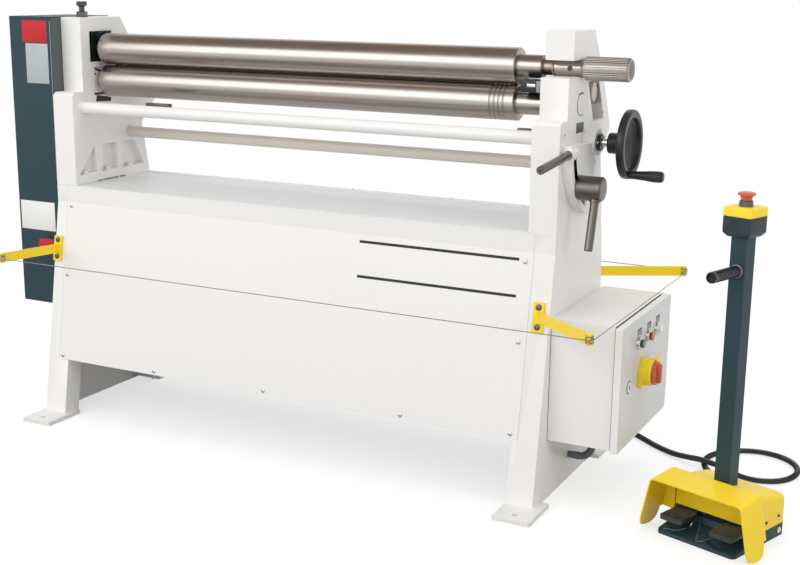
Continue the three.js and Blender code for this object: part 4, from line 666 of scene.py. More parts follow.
def smooth_route(points: Sequence[Triple], spacing: float) -> list[Vector]:
    """Samples a centripetal curve through points at an even spacing.

    Args:
        points: the places that the curve passes.
        spacing: the distance wanted between samples.

    Returns:
        The samples, from the first point to the last.
    """
    places = [Vector(point) for point in points]
    places = [2 * places[0] - places[1], *places, 2 * places[-1] - places[-2]]
    fine: list[Vector] = []
    for index in range(1, len(places) - 2):
        p0, p1, p2, p3 = places[index - 1 : index + 3]
        t1 = max((p1 - p0).length, TINY) ** 0.5
        t2 = t1 + max((p2 - p1).length, TINY) ** 0.5
        t3 = t2 + max((p3 - p2).length, TINY) ** 0.5
        for step in range(FINE_STEPS):
            t = t1 + (t2 - t1) * step / FINE_STEPS
            a1 = between(p0, p1, 0.0, t1, t)
            a2 = between(p1, p2, t1, t2, t)
            a3 = between(p2, p3, t2, t3, t)
            b1 = between(a1, a2, 0.0, t2, t)
            b2 = between(a2, a3, t1, t3, t)
            fine.append(between(b1, b2, t1, t2, t))
    fine.append(places[-2])
    reach = [0.0]
    for one, other in zip(fine, fine[1:]):
        reach.append(reach[-1] + (other - one).length)
    count = max(2, round(reach[-1] / spacing))
    made = []
    index = 0
    for step in range(count + 1):
        goal = reach[-1] * step / count
        while index < len(fine) - 2 and reach[index + 1] < goal:
            index += 1
        span = reach[index + 1] - reach[index]
        made.append(fine[index].lerp(fine[index + 1], (goal - reach[index]) / span if span else 0.0))
    return made


class Shape:
    """Collects shapes, in millimetres, into the mesh of one piece."""

    def __init__(self, place: Optional[Matrix] = None) -> None:
        """Starts an empty shape, in machine millimetres or in those of a placed part."""
        self.mesh = bmesh.new()
        self.place = place or Matrix.Identity(4)

    def turned(
        self, profile: Sequence[Pair], centre: Triple, axis: Sequence[float] = Axis.X.value,
        sides: int = 72, ease: float = 0.6, swell: Optional[Callable[[float, float], float]] = None,
    ) -> "Shape":
        """Adds a turned body.

        Args:
            profile: radius and place along the axis, from one end to the other.
            centre: where place 0 of the axis is.
            axis: the axis's direction.
            sides: how many sides each ring has.
            ease: how far its corners are rounded.
            swell: what to add to the radius at an angle and a radius.

        Returns:
            This shape.
        """
        way = Vector(axis).normalized()
        across = way.orthogonal().normalized()
        if abs(way.x) > 0.999:
            across = Vector((0.0, 1.0, 0.0))
        side = way.cross(across)
        rings: list[list[bmesh.types.BMVert]] = []
        for radius, along in eased(profile, ease) if ease else profile:
            middle = Vector(centre) + way * along
            if radius < TINY:
                rings.append([self.mesh.verts.new(middle)])
                continue
            radii = [radius] * sides
            if swell:
                radii = [radius + swell(FULL_TURN * index / sides, radius) for index in range(sides)]
            rings.append(self._ring(middle, across, side, radii))
        self._walls(rings)
        return self

    def _ring(
        self, middle: Vector, across: Vector, side: Vector, radii: Sequence[float],
    ) -> list[bmesh.types.BMVert]:
        """Adds a ring of points.

        Args:
            middle: the ring's middle.
            across: the way to its first point.
            side: the way to the point a quarter of a turn further on.
            radii: how far out each point is.

        Returns:
            The points.
        """
        made = []
        for index, radius in enumerate(radii):
            angle = FULL_TURN * index / len(radii)
            out = across * math.cos(angle) + side * math.sin(angle)
            made.append(self.mesh.verts.new(middle + out * radius))
        return made

    def _walls(self, rings: Sequence[Sequence[bmesh.types.BMVert]], capped: bool = False) -> None:
        """Joins each ring of points to the next, and closes both ends if it is capped."""
        for one, other in zip(rings, rings[1:]):
            count = max(len(one), len(other))
            for index in range(count if count > 1 else 0):
                after = (index + 1) % count
                corners = [one[index % len(one)], one[after % len(one)]]
                corners += [other[after % len(other)], other[index % len(other)]]
                unique = list(dict.fromkeys(corners))
                if len(unique) > 2:
                    self.mesh.faces.new(unique)
        if capped:
            self.mesh.faces.new(rings[0])
            self.mesh.faces.new(rings[-1])

    def prism(
        self, outline: Sequence[Pair], low: float, high: float, axis: Axis = Axis.X, ease: float = 0.6,
    ) -> "Shape":
        """Adds a plate with a flat outline and eased edges.

        Args:
            outline: its corners in the two other axes, in their order.
            low: where it starts along the axis.
            high: where it ends.
            axis: the axis that it is thick along.
            ease: the width of its eased edges.

        Returns:
            This shape.
        """

        def corner(a: float, b: float, along: float) -> Triple:
            """Returns a corner's place."""
            if axis is Axis.X:
                return along, a, b
            return (a, along, b) if axis is Axis.Y else (a, b, along)

        part = bmesh.new()
        base = [part.verts.new(corner(a, b, low)) for a, b in outline]
        top = [part.verts.new(corner(a, b, high)) for a, b in outline]
        part.faces.new(base)
        part.faces.new(top)
        for index in range(len(base)):
            after = (index + 1) % len(base)
            part.faces.new([base[index], base[after], top[after], top[index]])
        bmesh.ops.recalc_face_normals(part, faces=part.faces)
        self._take(part, ease)
        return self

    def block(self, low: Triple, high: Triple, ease: float = 0.6) -> "Shape":
        """Adds a block between two corners, with eased edges."""
        outline = [(low[1], low[2]), (high[1], low[2]), (high[1], high[2]), (low[1], high[2])]
        return self.prism(outline, low[0], high[0], Axis.X, ease)

    def _take(self, part: bmesh.types.BMesh, ease: float) -> None:
        """Eases a part's sharp edges and adds it to this shape."""
        if ease:
            sharp = [edge for edge in part.edges if edge.calc_face_angle(0.0) > SHARP]
            how = {"segments": 2, "profile": 0.5, "affect": "EDGES", "clamp_overlap": True}
            bmesh.ops.bevel(part, geom=sharp, offset=ease, **how)
        held = bpy.data.meshes.new("part")
        part.to_mesh(held)
        part.free()
        self.mesh.from_mesh(held)
        bpy.data.meshes.remove(held)

    def stack(self, outlines: Sequence[Sequence[Pair]], heights: Sequence[float]) -> "Shape":
        """Adds a body through flat outlines at rising heights, with closed ends.

        Args:
            outlines: outlines with the same count of points, in X and Y.
            heights: the height of each.

        Returns:
            This shape.
        """
        rings = []
        for outline, height in zip(outlines, heights):
            rings.append([self.mesh.verts.new((x, y, height)) for x, y in outline])
        self._walls(rings, capped=True)
        return self

    def sheet(self, rows: Sequence[Sequence[Triple]], thickness: float) -> "Shape":
        """Adds a bent sheet, given by rows of points on one of its faces.

        Args:
            rows: rows with the same count of points.
            thickness: how thick it is, towards the side that row cross column looks away from.

        Returns:
            This shape.
        """
        tall, wide = len(rows), len(rows[0])
        outer, inner = [], []
        normal = Vector((0.0, 0.0, 1.0))
        for i, row in enumerate(rows):
            outer.append([self.mesh.verts.new(point) for point in row])
            inner.append([])
            for j, point in enumerate(row):
                along = Vector(rows[min(i + 1, tall - 1)][j]) - Vector(rows[max(i - 1, 0)][j])
                across = Vector(row[min(j + 1, wide - 1)]) - Vector(row[max(j - 1, 0)])
                facing = along.cross(across)
                normal = facing.normalized() if facing.length > TINY else normal
                inner[-1].append(self.mesh.verts.new(Vector(point) - normal * thickness))
        for i in range(tall - 1):
            for j in range(wide - 1):
                for side in (outer, inner):
                    self.mesh.faces.new([side[i][j], side[i + 1][j], side[i + 1][j + 1], side[i][j + 1]])
        rim = [(0, j) for j in range(wide)] + [(i, wide - 1) for i in range(1, tall)]
        rim += [(tall - 1, j) for j in range(wide - 2, -1, -1)] + [(i, 0) for i in range(tall - 2, -1, -1)]
        for (i, j), (k, l) in zip(rim, rim[1:]):
            self.mesh.faces.new([outer[i][j], outer[k][l], inner[k][l], inner[i][j]])
        return self

    def relief(
        self, half: Callable[[float], float], rows: Sequence[float], top: Callable[[float, float], float],
        columns: int,
    ) -> "Shape":
        """Adds a flat-footed body whose top follows a height at each place.

        Args:
            half: its half width at each Y.
            rows: the Y of each row of points.
            top: its height at an X and Y.
            columns: how many spans a row has.

        Returns:
            This shape.
        """
        grid = []
        for y in rows:
            places = [half(y) * (2 * step / columns - 1) for step in range(columns + 1)]
            grid.append([self.mesh.verts.new((x, y, top(x, y))) for x in places])
        for one, other in zip(grid, grid[1:]):
            for j in range(columns):
                self.mesh.faces.new([one[j], one[j + 1], other[j + 1], other[j]])
        border = grid[0] + [row[-1] for row in grid[1:]]
        border += grid[-1][-2::-1] + [row[0] for row in grid[-2:0:-1]]
        foot = [self.mesh.verts.new((vert.co.x, vert.co.y, 0.0)) for vert in border]
        self._walls([border, foot])
        self.mesh.faces.new(foot)
        return self

    def tube(self, route: Sequence[Vector], radii: Sequence[float], sides: int = 12) -> "Shape":
        """Adds a tube along a route.

        Args:
            route: its middle line.
            radii: its radius at each point, or one radius for all.
            sides: how many sides it has.

        Returns:
            This shape.
        """
        across = Vector((0.0, 0.0, 1.0))
        rings = []
        for index, middle in enumerate(route):
            way = (route[min(index + 1, len(route) - 1)] - route[max(index - 1, 0)]).normalized()
            if abs(way.dot(across)) > 0.95 and not index:
                across = Vector((1.0, 0.0, 0.0))
            across = (across - way * across.dot(way)).normalized()
            side = way.cross(across)
            rings.append(self._ring(middle, across, side, [radii[index % len(radii)]] * sides))
        self._walls(rings, capped=True)
        return self

    def screw(
        self, place: Triple, normal: Sequence[float], size: float, head: Head, washer: bool = False,
    ) -> "Shape":
        """Adds a screw head that stands on a face.

        Args:
            place: where its axis meets the face.
            normal: the way that the face looks.
            size: the head's diameter.
            head: its kind.
            washer: whether a washer lies under it.

        Returns:
            This shape.
        """
        radius = size / 2
        sunk = 0.5
        foot = size * 0.12 if washer else 0.0
        if washer:
            self.turned(stepped(-sunk, (radius * 1.35, foot)), place, normal, 32, foot * 0.3)
        start = foot - sunk
        if head is Head.HEX:
            profile = [(0.0, start), (radius, start), (radius, foot + size * 0.38), (0.0, foot + size * 0.4)]
            return self.turned(profile, place, normal, 6, 0.0)
        button = head is Head.BUTTON
        height = size * (0.3 if button else 0.6)
        shoulder = radius * (0.6 if button else 0.92)
        key = radius * 0.46
        top, bed = foot + height, foot + height * 0.3
        profile = [
            (0.0, start), (radius, start), (radius, foot + height * 0.25),
            (radius * 0.93, foot + height * 0.7), (shoulder, top), (key, top), (key * 0.97, bed), (0.0, bed),
        ]
        return self.turned(profile, place, normal, 24, 0.0)

    def done(
        self, name: str, finish: Finish, body: str, *nodes: str, smooth: float = 32.0,
    ) -> Object:
        """Turns the shape into a piece.

        Args:
            name: the piece's name.
            finish: its finish.
            body: the CAD body it rides on.
            *nodes: the CAD nodes it stands for.
            smooth: edges sharper than this many degrees stay crisp.

        Returns:
            The new object.
        """
        bmesh.ops.recalc_face_normals(self.mesh, faces=self.mesh.faces)
        self.mesh.transform(TO_METRES @ self.place)
        mesh = bpy.data.meshes.new(name)
        self.mesh.to_mesh(mesh)
        self.mesh.free()
        soften(mesh, smooth)
        return carried(name, mesh, finish, body, nodes)


# Camera, floor and lights


@dataclass
class Studio:
    """The camera at the photograph's place, a pale floor and soft light."""

    camera_place: Triple = (1842.8, -3006.4, 1268.3)
    yaw: float = 26.852
    pitch: float = 13.192
    roll: float = -0.65
    focal_pixels: float = 1280.53
    picture_width: float = 800.0
    sensor: float = 36.0
    floor_half: float = 40.0
    floor_fade: Pair = (2.4, 4.6)
    floor_tone: Triple = (0.45, 0.45, 0.45)
    floor_glow: float = 0.62
    fill: float = 0.8

    def camera(self) -> None:
        """Makes the camera."""
        yaw, pitch, roll = (math.radians(angle) for angle in (self.yaw, self.pitch, self.roll))
        ahead = Vector((-math.sin(yaw) * math.cos(pitch), math.cos(yaw) * math.cos(pitch), -math.sin(pitch)))
        right = Vector((math.cos(yaw), math.sin(yaw), 0.0))
        down = ahead.cross(right)
        turned_right = right * math.cos(roll) + down * math.sin(roll)
        turned_down = -right * math.sin(roll) + down * math.cos(roll)
        data = bpy.data.cameras.new("photo_view")
        data.sensor_width = self.sensor
        data.lens = self.focal_pixels * self.sensor / self.picture_width
        data.clip_end = 200.0
        made = placed("photo_view", data)
        columns = Matrix((turned_right, -turned_down, -ahead)).transposed()
        made.matrix_world = Matrix.Translation(TO_METRES @ Vector(self.camera_place)) @ columns.to_4x4()
        bpy.context.scene.camera = made

    def world(self) -> None:
        """Makes the world: white where it is looked at, and a plain fill otherwise."""
        world = bpy.data.worlds.new("studio")
        bpy.context.scene.world = world
        world.use_nodes = True
        tree = Tree(world.node_tree)
        strength = tree.ramp(tree.shown(), 0.0, 1.0, (self.fill, 1.0))
        tree.feed(world.node_tree.nodes["Background"], {"Color": FULL_LIGHT, "Strength": strength})
        bpy.context.scene.view_settings.view_transform = "Standard"

    def card(self, name: str, low: Triple, high: Triple) -> tuple[Object, Tree, Node]:
        """Lays a flat card with a matt material of its own.

        Args:
            name: the card's name.
            low: one corner, in metres.
            high: the far corner, in metres, at the same height.

        Returns:
            The card, its material's tree and its shader.
        """
        mesh = bpy.data.meshes.new(name)
        corners = [low, (high[0], low[1], low[2]), high, (low[0], high[1], high[2])]
        mesh.from_pydata(corners, [], [(0, 1, 2, 3)])
        paint = bpy.data.materials.new(name)
        paint.use_nodes = True
        mesh.materials.append(paint)
        shader = paint.node_tree.nodes["Principled BSDF"]
        shader.inputs["Specular IOR Level"].default_value = 0.0
        return placed(name, mesh), Tree(paint.node_tree), shader

    def floor(self) -> None:
        """Makes the floor, pale where it is looked at, with the machine's shadow on it."""
        half = self.floor_half
        made, tree, shader = self.card("floor", (-half, -half, 0.0), (half, half, 0.0))
        shown = tree.shown()
        reach = tree.node("ShaderNodeVectorMath", {0: tree.place()}, operation="LENGTH").outputs["Value"]
        far = tree.ramp(reach, *self.floor_fade)
        near_glow = tree.product(shown, self.floor_glow)
        far_glow = tree.ramp(shown, 0.0, 1.0, (self.fill, 1.0))
        plugs = {
            "Base Color": tree.mix(far, (*self.floor_tone, 1.0), NO_LIGHT),
            "Roughness": 0.9,
            "Emission Color": FULL_LIGHT,
            "Emission Strength": tree.ramp(far, 0.0, 1.0, (near_glow, far_glow)),
        }
        tree.feed(shader, plugs)

    def flag(self, name: str, low: Triple, high: Triple, color: Triple) -> None:
        """Hangs a dim card that only reflections see, as the dark of a studio does in steel.

        Args:
            name: the card's name.
            low: one corner, in metres.
            high: the far corner, in metres, at the same height.
            color: how bright it looks in a reflection.
        """
        made, tree, shader = self.card(name, low, high)
        glow = {"Base Color": NO_LIGHT, "Emission Color": (*color, 1.0), "Emission Strength": 1.0}
        tree.feed(shader, glow)
        made.visible_camera = False
        made.visible_diffuse = False
        made.visible_transmission = False
        made.visible_shadow = False

    def lamp(
        self, name: str, place: Triple, target: Triple, size: Pair, power: float, mirrored: bool = True,
    ) -> None:
        """Hangs a soft box that looks at a target.

        Args:
            name: the lamp's name.
            place: where it hangs, in metres.
            target: what it looks at, in metres.
            size: its width and height, in metres.
            power: its power in watts.
            mirrored: whether reflections show it.
        """
        data = bpy.data.lights.new(name, "AREA")
        data.shape = "RECTANGLE"
        data.size, data.size_y = size
        data.energy = power
        made = placed(name, data)
        made.location = place
        made.rotation_euler = (Vector(target) - Vector(place)).to_track_quat("-Z", "Y").to_euler()
        made.visible_glossy = mirrored

    def build(self) -> None:
        """Makes the camera, then the world, the floor and the lamps."""
        self.camera()
        self.world()
        self.floor()
        self.lamp("front_left_box", (-1.9, -4.9, 3.0), (0.0, 0.0, 0.8), (6.5, 3.2), 134.0)
        self.lamp("top_box", (0.3, 0.2, 4.2), (0.0, 0.0, 0.6), (3.4, 2.2), 18.0, mirrored=False)
        self.lamp("right_box", (4.6, -1.6, 2.2), (0.3, 0.0, 0.6), (1.8, 2.4), 30.0, mirrored=False)
        self.flag("overhead_flag", (-5.0, -1.7, 3.0), (4.0, 1.7, 3.0), (0.32, 0.25, 0.21))
        self.flag("floor_flag", (-5.0, -2.3, 0.003), (4.0, -0.3, 0.003), (0.34, 0.29, 0.26))


# The machine's parts


@dataclass
class PedalHose:
    """The ribbed hose on the floor between the machine and the foot pedestal."""

    diameter: float = 16.0
    valley: float = 6.9
    pitch: float = 4.2
    plain: float = 16.0
    length: float = 1746.0
    steps_per_rib: int = 4
    route: list[Triple] = field(
        default_factory=lambda: [
            (700, 216, 142.7), (700, 216, 126), (700, 217.5, 104), (700.4, 224, 76), (701.2, 238, 48),
            (702.6, 260, 24), (704.6, 290, 11), (707.5, 322, 8.3), (713, 355, 8.3), (726, 388, 8.3),
            (747, 415, 8.3), (776, 434, 8.3), (810, 441, 8.3), (843, 435, 8.3), (873, 419, 8.3),
            (905, 394, 8.3), (955, 353, 8.5), (1013, 313, 11), (1062, 283, 19), (1098, 264, 25.2),
            (1126, 253, 26), (1156, 244, 24), (1192, 235, 15), (1230, 229, 9.5), (1266, 230, 8.3),
            (1300, 244, 8.3), (1326, 271, 8.3), (1340, 307, 8.3), (1342, 345, 8.3), (1330, 384, 8.3),
            (1304, 418, 8.3), (1266, 440, 8.3), (1224, 446, 8.3), (1182, 435, 8.3), (1145, 410, 8.3),
            (1118, 376, 8.3), (1104, 336, 8.3), (1105, 292, 8.3), (1120, 250, 8.3), (1148, 210, 8.3),
            (1184, 172, 8.4), (1212, 136, 9.3), (1229, 99, 11), (1235, 64, 12.5), (1227.9, 32, 13),
            (1222.7, 16.9, 13),
        ]
    )

    def build(self) -> None:
        path = smooth_route(self.route, self.pitch / self.steps_per_rib)
        crest = self.diameter / 2
        middle = (crest + self.valley) / 2
        wave = [self.valley, middle, crest, middle]
        smooth_ends = round(self.plain * self.steps_per_rib / self.pitch)
        radii = [
            crest if index < smooth_ends or index > len(path) - smooth_ends else wave[index % len(wave)]
            for index in range(len(path))
        ]
        shape = Shape().tube(path, radii, 14)
        hose = shape.done("pedal_hose_ribbed", HOSE, "machine", "pedal_hose", smooth=50.0)
        metres = [TO_METRES @ point for point in path]
        tuple(metres[0])
        [tuple(point) for point in metres]


@dataclass
class Rolls:
    """The three rolls, the top roll's sleeve, handle, rest and clamp screw, and the tie rods."""

    radius: float = 45.0
    half: float = 650.0
    rear_half: float = 645.0
    chamfer: float = 2.0
    shoulder: float = 28.5
    journal: float = 25.0
    right_journal: float = 52.0
    neck: float = 19.7
    neck_length: float = 30.0
    spigot: float = 12.0
    play: float = 0.3
    set_screw_x: float = 786.0
    groove_start: float = 584.0
    groove_pitch: float = 12.0
    groove_count: int = 4
    groove_half: float = 2.5
    flutes: int = 36
    flute_depth: float = 0.9
    left_inner: float = -668.5
    left_seat: float = -743.5
    lip_radii: Pair = (50.5, 47.0)
    lip_ends: Pair = (48.0, 132.0)
    lip_reach: Pair = (-668.0, -655.0)
    tabs: tuple[Triple, ...] = ((-440.0, -360.0, 7.5), (684.0, 717.0, 4.0))
    screw_radius: float = 8.0
    nut_foot: float = 1160.3
    nut_top: float = 1176.3
    washer: float = 2.4
    knurls: int = 30

    def _body(self, half: float) -> list[Pair]:
        """Returns the two ends of a roll's body with their chamfers."""
        radius, slim = self.radius, self.radius - self.chamfer
        inner = half - self.chamfer
        return [(slim, -half), (radius, -inner), (radius, inner), (slim, half)]

    def _turn(self, node: str, profile: Sequence[Pair], ease: float) -> None:
        """Turns a roll from its profile and puts it on the body of its own name."""
        shape = Shape().turned(profile, axis_of(node), sides=128, ease=ease)
        shape.done(f"{node}_steel", ROLL_STEEL, node, node)

    def top(self) -> None:
        """Makes the top roll."""
        low, high = room("top_roll")
        sleeve = room("end_sleeve")[0].x
        left = stepped(low.x, (self.journal, self.left_inner), (self.shoulder, -self.half))
        right = stepped(
            self.half,
            (self.shoulder, sleeve - self.neck_length),
            (self.neck, sleeve - self.play),
            (self.spigot, high.x),
        )
        self._turn("top_roll", [*left[:-1], *self._body(self.half), *right[1:]], 0.8)

    def bottom(self) -> None:
        """Makes the bottom roll with its wire grooves."""
        low, high = room("bottom_roll")
        body = self._body(self.half)
        left = stepped(
            low.x,
            (self.neck + self.play, self.left_seat),
            (self.journal, self.left_inner),
            (self.shoulder, -self.half),
        )
        profile = [*left[:-1], *body[:2]]
        for index in range(self.groove_count):
            middle = self.groove_start + self.groove_pitch * index + self.groove_half
            arc = curve_arc((0, 0), self.groove_half, 0, 180, 8)
            profile += [(self.radius - b, middle - a) for a, b in arc]
        right = stepped(self.half, (self.shoulder, high.x - self.right_journal), (self.journal, high.x))
        self._turn("bottom_roll", [*profile, *body[2:], *right[1:]], 0.5)

    def rear(self) -> None:
        """Makes the bending roll."""
        low, high = room("rear_roll")
        left = stepped(low.x, (self.journal, -self.rear_half))
        right = stepped(self.rear_half, (self.journal, high.x))
        self._turn("rear_roll", [*left[:-1], *self._body(self.rear_half), *right[1:]], 0.8)

    def sleeve(self) -> None:
        """Makes the sleeve on the top roll's end, with its set screw."""
        low, high = room("end_sleeve")
        axis = axis_of("end_sleeve")
        radius = (high.y - low.y) / 2
        bore = self.spigot + self.play
        rim = [(bore, low.x), (radius - 2, low.x), (radius, low.x + 2), (radius, high.x), (bore, high.x)]
        shape = Shape().turned([*rim, rim[0]], axis, sides=96, ease=0.0)
        shape.done("end_sleeve_steel", ROLL_STEEL, "top_swing", "end_sleeve")
        place = (self.set_screw_x, 0.6 - radius, axis[2])
        screw = Shape().screw(place, (0, -1, 0), 13.0, Head.BUTTON)
        screw.done("end_sleeve_set_screw", DARK_STEEL, "top_swing")

    def handle(self) -> None:
        """Makes the fluted release handle."""
        low, high = room("release_handle")
        axis = axis_of("release_handle")
        radius = (high.y - low.y) / 2
        start, end = low.x, high.x

        def flute(angle: float, reach: float) -> float:
            """Sinks the flutes into the grip, and leaves its ends round."""
            depth = self.flute_depth * min(1.0, max(0.0, (reach - radius + 3.0) / 2.5))
            return -depth * max(0.0, math.cos(angle * self.flutes)) ** 0.7

        profile = [
            (0, start), (radius - 6, start), (radius - 5, start + 1), (radius - 3, start + 7),
            (radius, start + 8.5), (radius, end - 6), (radius - 0.6, end - 4), (radius - 3, end - 1.2),
            (radius - 5.5, end), (radius - 12, end), (radius - 13, end - 1), (0, end - 1),
        ]
        shape = Shape().turned(profile, axis, sides=self.flutes * 8, ease=0.0, swell=flute)
        shape.done("release_handle_steel", HANDLE_STEEL, "top_swing", "release_handle", smooth=40.0)
        rim = radius - 7
        face = [(0, end - 1.2), (rim, end - 1.2), (rim, end + 0.3), (rim - 1, end + 0.6), (0, end + 0.2)]
        shape = Shape().turned(face, axis, sides=96, ease=0.0)
        shape.done("release_handle_end_face", LEVER_STEEL, "top_swing")

    def rods(self) -> None:
        """Makes the two tie rods."""
        for node, finish in (("front_tie_rod", WHITE), ("rear_tie_rod", CREAM)):
            low, high = room(node)
            axis = axis_of(node)
            radius = (high.z - low.z) / 2
            shape = Shape().turned(stepped(low.x, (radius, high.x)), axis, sides=72, ease=0.6)
            for end, inward in ((low.x, 1), (high.x, -1)):
                collar = [(radius, end), (radius + 2.5, end), (radius, end + 3 * inward)]
                shape.turned(collar, axis, sides=72, ease=0.0)
            shape.done(f"{node}_bar", finish, "machine", node)

    def clamp_screw(self) -> None:
        """Makes the clamp screw with its nut and knurled head."""
        low, high = room("clamp_screw")
        axis = ((low.x + high.x) / 2, (low.y + high.y) / 2, 0)
        up = Axis.Z.value
        radius, end = self.screw_radius, high.z
        foot, top = self.nut_foot, self.nut_top
        seat = foot + self.washer

        def knurl(angle: float, reach: float) -> float:
            """Roughens the rim of the head."""
            return 0.4 * math.cos(self.knurls * angle) if reach > 14 else 0.0

        shape = Shape().turned(stepped(low.z, (radius, foot + 1)), axis, up, 32)
        shape.turned(stepped(foot, (17, seat)), axis, up, 48)
        stem = [(0, top), (radius, top), (radius, end - 16), (12, end - 12), (0, end - 12)]
        shape.turned(stem, axis, up, 40)
        head = [(0, end - 12), (13.5, end - 12), (14.6, end - 11), (14.6, end - 2), (13, end), (0, end)]
        shape.turned(head, axis, up, 120, 0.0, knurl)
        shape.done("clamp_screw_steel", DARK_STEEL, "clamp_screw", "clamp_screw")
        nut = [(0, seat), (16, seat), (16, top - 2), (14.4, top), (0, top)]
        Shape().turned(nut, axis, up, 6, 0.0).done("clamp_screw_nut", LEVER_STEEL, "clamp_screw")

    def rest(self) -> None:
        """Makes the black rest under the top roll's free end, with its bright insert."""
        low, high = room("roll_end_rest")
        shape = Shape().block(tuple(low), tuple(high), 2.0)
        shape.done("roll_end_rest_block", BLACK, "machine", "roll_end_rest")
        back = low.y + 0.5
        cheek = Shape().block((high.x - 21, low.y - 2.5, low.z + 1), (high.x, back, high.z), 1.0)
        cheek.done("roll_end_rest_cheek", GREY_METAL, "machine")
        insert = Shape().block((low.x + 16, low.y - 1.0, low.z + 13), (high.x - 24, back, high.z - 8), 0.8)
        insert.done("roll_end_rest_insert", BRIGHT_STEEL, "machine")

    def trims(self) -> None:
        """Makes the oiled neck of the top roll, its dark end ring and the tabs over the front rod."""
        axis = axis_of("top_roll")
        end = room("end_sleeve")[0].x
        start = end - self.neck_length
        thick = self.neck + 0.25
        neck = [(self.neck, start + 0.5), (thick, start + 1), (thick, end - 1.5), (self.neck, end - 1)]
        Shape().turned(neck, axis, sides=96, ease=0.0).done("top_roll_neck", COPPER_STEEL, "top_roll")
        centre, (outer, inner), (first, last) = (0.0, axis[2]), self.lip_radii, self.lip_ends
        lip = curve_arc(centre, outer, first, last, 24) + curve_arc(centre, inner, last, first, 24)
        Shape().prism(lip, *self.lip_reach, Axis.X, 0.4).done("top_roll_end_lip", IRON, "top_swing")
        low, high = room("front_tie_rod")
        tabs = Shape()
        for left, right, rise in self.tabs:
            tabs.block((left, low.y + 14, high.z - 4), (right, high.y - 3, high.z + rise), 1.5)
        tabs.done("front_rod_tabs", DARK_STEEL, "machine")

    def build(self) -> None:
        """Makes the rolls and what holds them."""
        parts = (self.top, self.bottom, self.rear, self.sleeve, self.handle, self.rods, self.clamp_screw)
        for make in (*parts, self.rest, self.trims):
            make()


@dataclass
class SideFrames:
    """The two side frames with their bearings, bolts and marks."""

    foot: float = 680.0
    bolt_places: Triple = (-84.0, 20.0, 122.0)
    bolt_depth: float = 11.0
    bolt_rise: float = 28.5
    bolt_head: float = 19.2
    swivel_room: float = 5.5
    proud: float = 0.2
    sunk: float = 0.4
    line: float = 0.9
    scale_centre: Pair = (5.0, 983.0)
    scale_radius: float = 28.0
    scale_ends: Pair = (60.0, 300.0)
    plugs: tuple[Triple, ...] = (
        (132.0, 826.0, 4.0), (178.0, 949.0, 2.5), (128.0, 1019.0, 2.5), (-103.5, 918.0, 2.5),
    )
    hook: tuple[Pair, ...] = ((-103.2, 916.0), (-105.0, 909.0), (-101.6, 901.0))
    slots: tuple[tuple[Pair, ...], ...] = (
        ((-36.0, 1009.0), (-5.0, 1001.0), (-5.0, 1007.0), (-33.0, 1015.0)),
        ((-35.0, 917.0), (32.0, 914.0), (32.0, 926.0), (-31.0, 936.0)),
    )
    foot_gaps: tuple[Pair, ...] = ((-42.0, -19.0), (-14.0, 52.0), (59.0, 86.0))

    def castings(self) -> None:
        """Makes the frames and the bearing blocks."""
        for node in ("left_side_frame", "right_side_frame"):
            dressed(node, "casting", WHITE, 1.4)
        swivel = dressed("swivel_bearing", "block", IRON, 1.0)
        left_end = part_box("swivel_bearing")[0].x + self.swivel_room * MM
        for vertex in swivel.data.vertices:
            vertex.co.x = max(vertex.co.x, left_end)
        for height, finish in (("lower", WHITE), ("rear", BRONZE)):
            for side in ("left", "right"):
                dressed(f"{height}_{side}_bearing", "block", finish, 0.8)

    def bolts(self) -> None:
        """Makes the bolts in the pockets at the frames' feet."""
        for name, corner, way in (("left", 1, -1), ("right", 0, 1)):
            x = room(f"{name}_side_frame")[corner].x + way * self.bolt_depth
            shape = Shape()
            for y in self.bolt_places:
                place = (x, y, self.foot + self.bolt_rise)
                shape.screw(place, Axis.Z.value, self.bolt_head, Head.HEX, washer=True)
            shape.done(f"{name}_frame_bolts", WHITE, "machine")

    def marks(self) -> None:
        """Makes the lever's scale arc, plugs and hook on the right frame, with painted shade over its lower
        window, and dark plates of painted shade for the left frame's slots, hole and foot gaps.
        """
        face = room("right_side_frame")[1].x
        arc = curve_arc(self.scale_centre, self.scale_radius, *self.scale_ends, 40)
        shape = Shape().tube([Vector((face, y, z)) for y, z in arc], [self.line], 8)
        shape.block((face - self.sunk, -18, 1007), (face + self.sunk, 15, 1009), 0.0)
        shape.done("right_frame_scale_arc", MARK, "machine")
        # The black block over the frame's lower window is painted shade; the plugs and hook are real marks.
        plugs_and_window_shade = Shape().block((face - 0.5, -25, 913), (face + self.proud, 30, 938), 0.0)
        for y, z, radius in self.plugs:
            plugs_and_window_shade.turned(stepped(-0.5, (radius, self.proud)), (face, y, z), sides=24, ease=0.0)
        plugs_and_window_shade.tube([Vector((face - 0.7, y, z)) for y, z in self.hook], [self.line], 6)
        plugs_and_window_shade.done("right_frame_plugs_and_window_shade", BLACK, "machine")
        inner = room("left_side_frame")[1].x
        back, front = inner - self.sunk, inner + self.sunk
        # Dark plates for the shade inside the left frame's slots and hole and in the gaps at its foot:
        # painted shade.
        slots = Shape()
        for outline in self.slots:
            slots.prism(outline, back, front, Axis.X, 0.0)
        slots.turned(stepped(-self.sunk, (3, self.sunk)), (inner, -33, 998), sides=24, ease=0.0)
        for first, last in self.foot_gaps:
            slots.block((back, first, 682.6), (front, last, 685.4), 0.0)
        slots.done("left_frame_painted_slot_shade", MARK, "machine")

    def build(self) -> None:
        """Makes the frames and what is on them."""
        self.castings()
        self.bolts()
        self.marks()


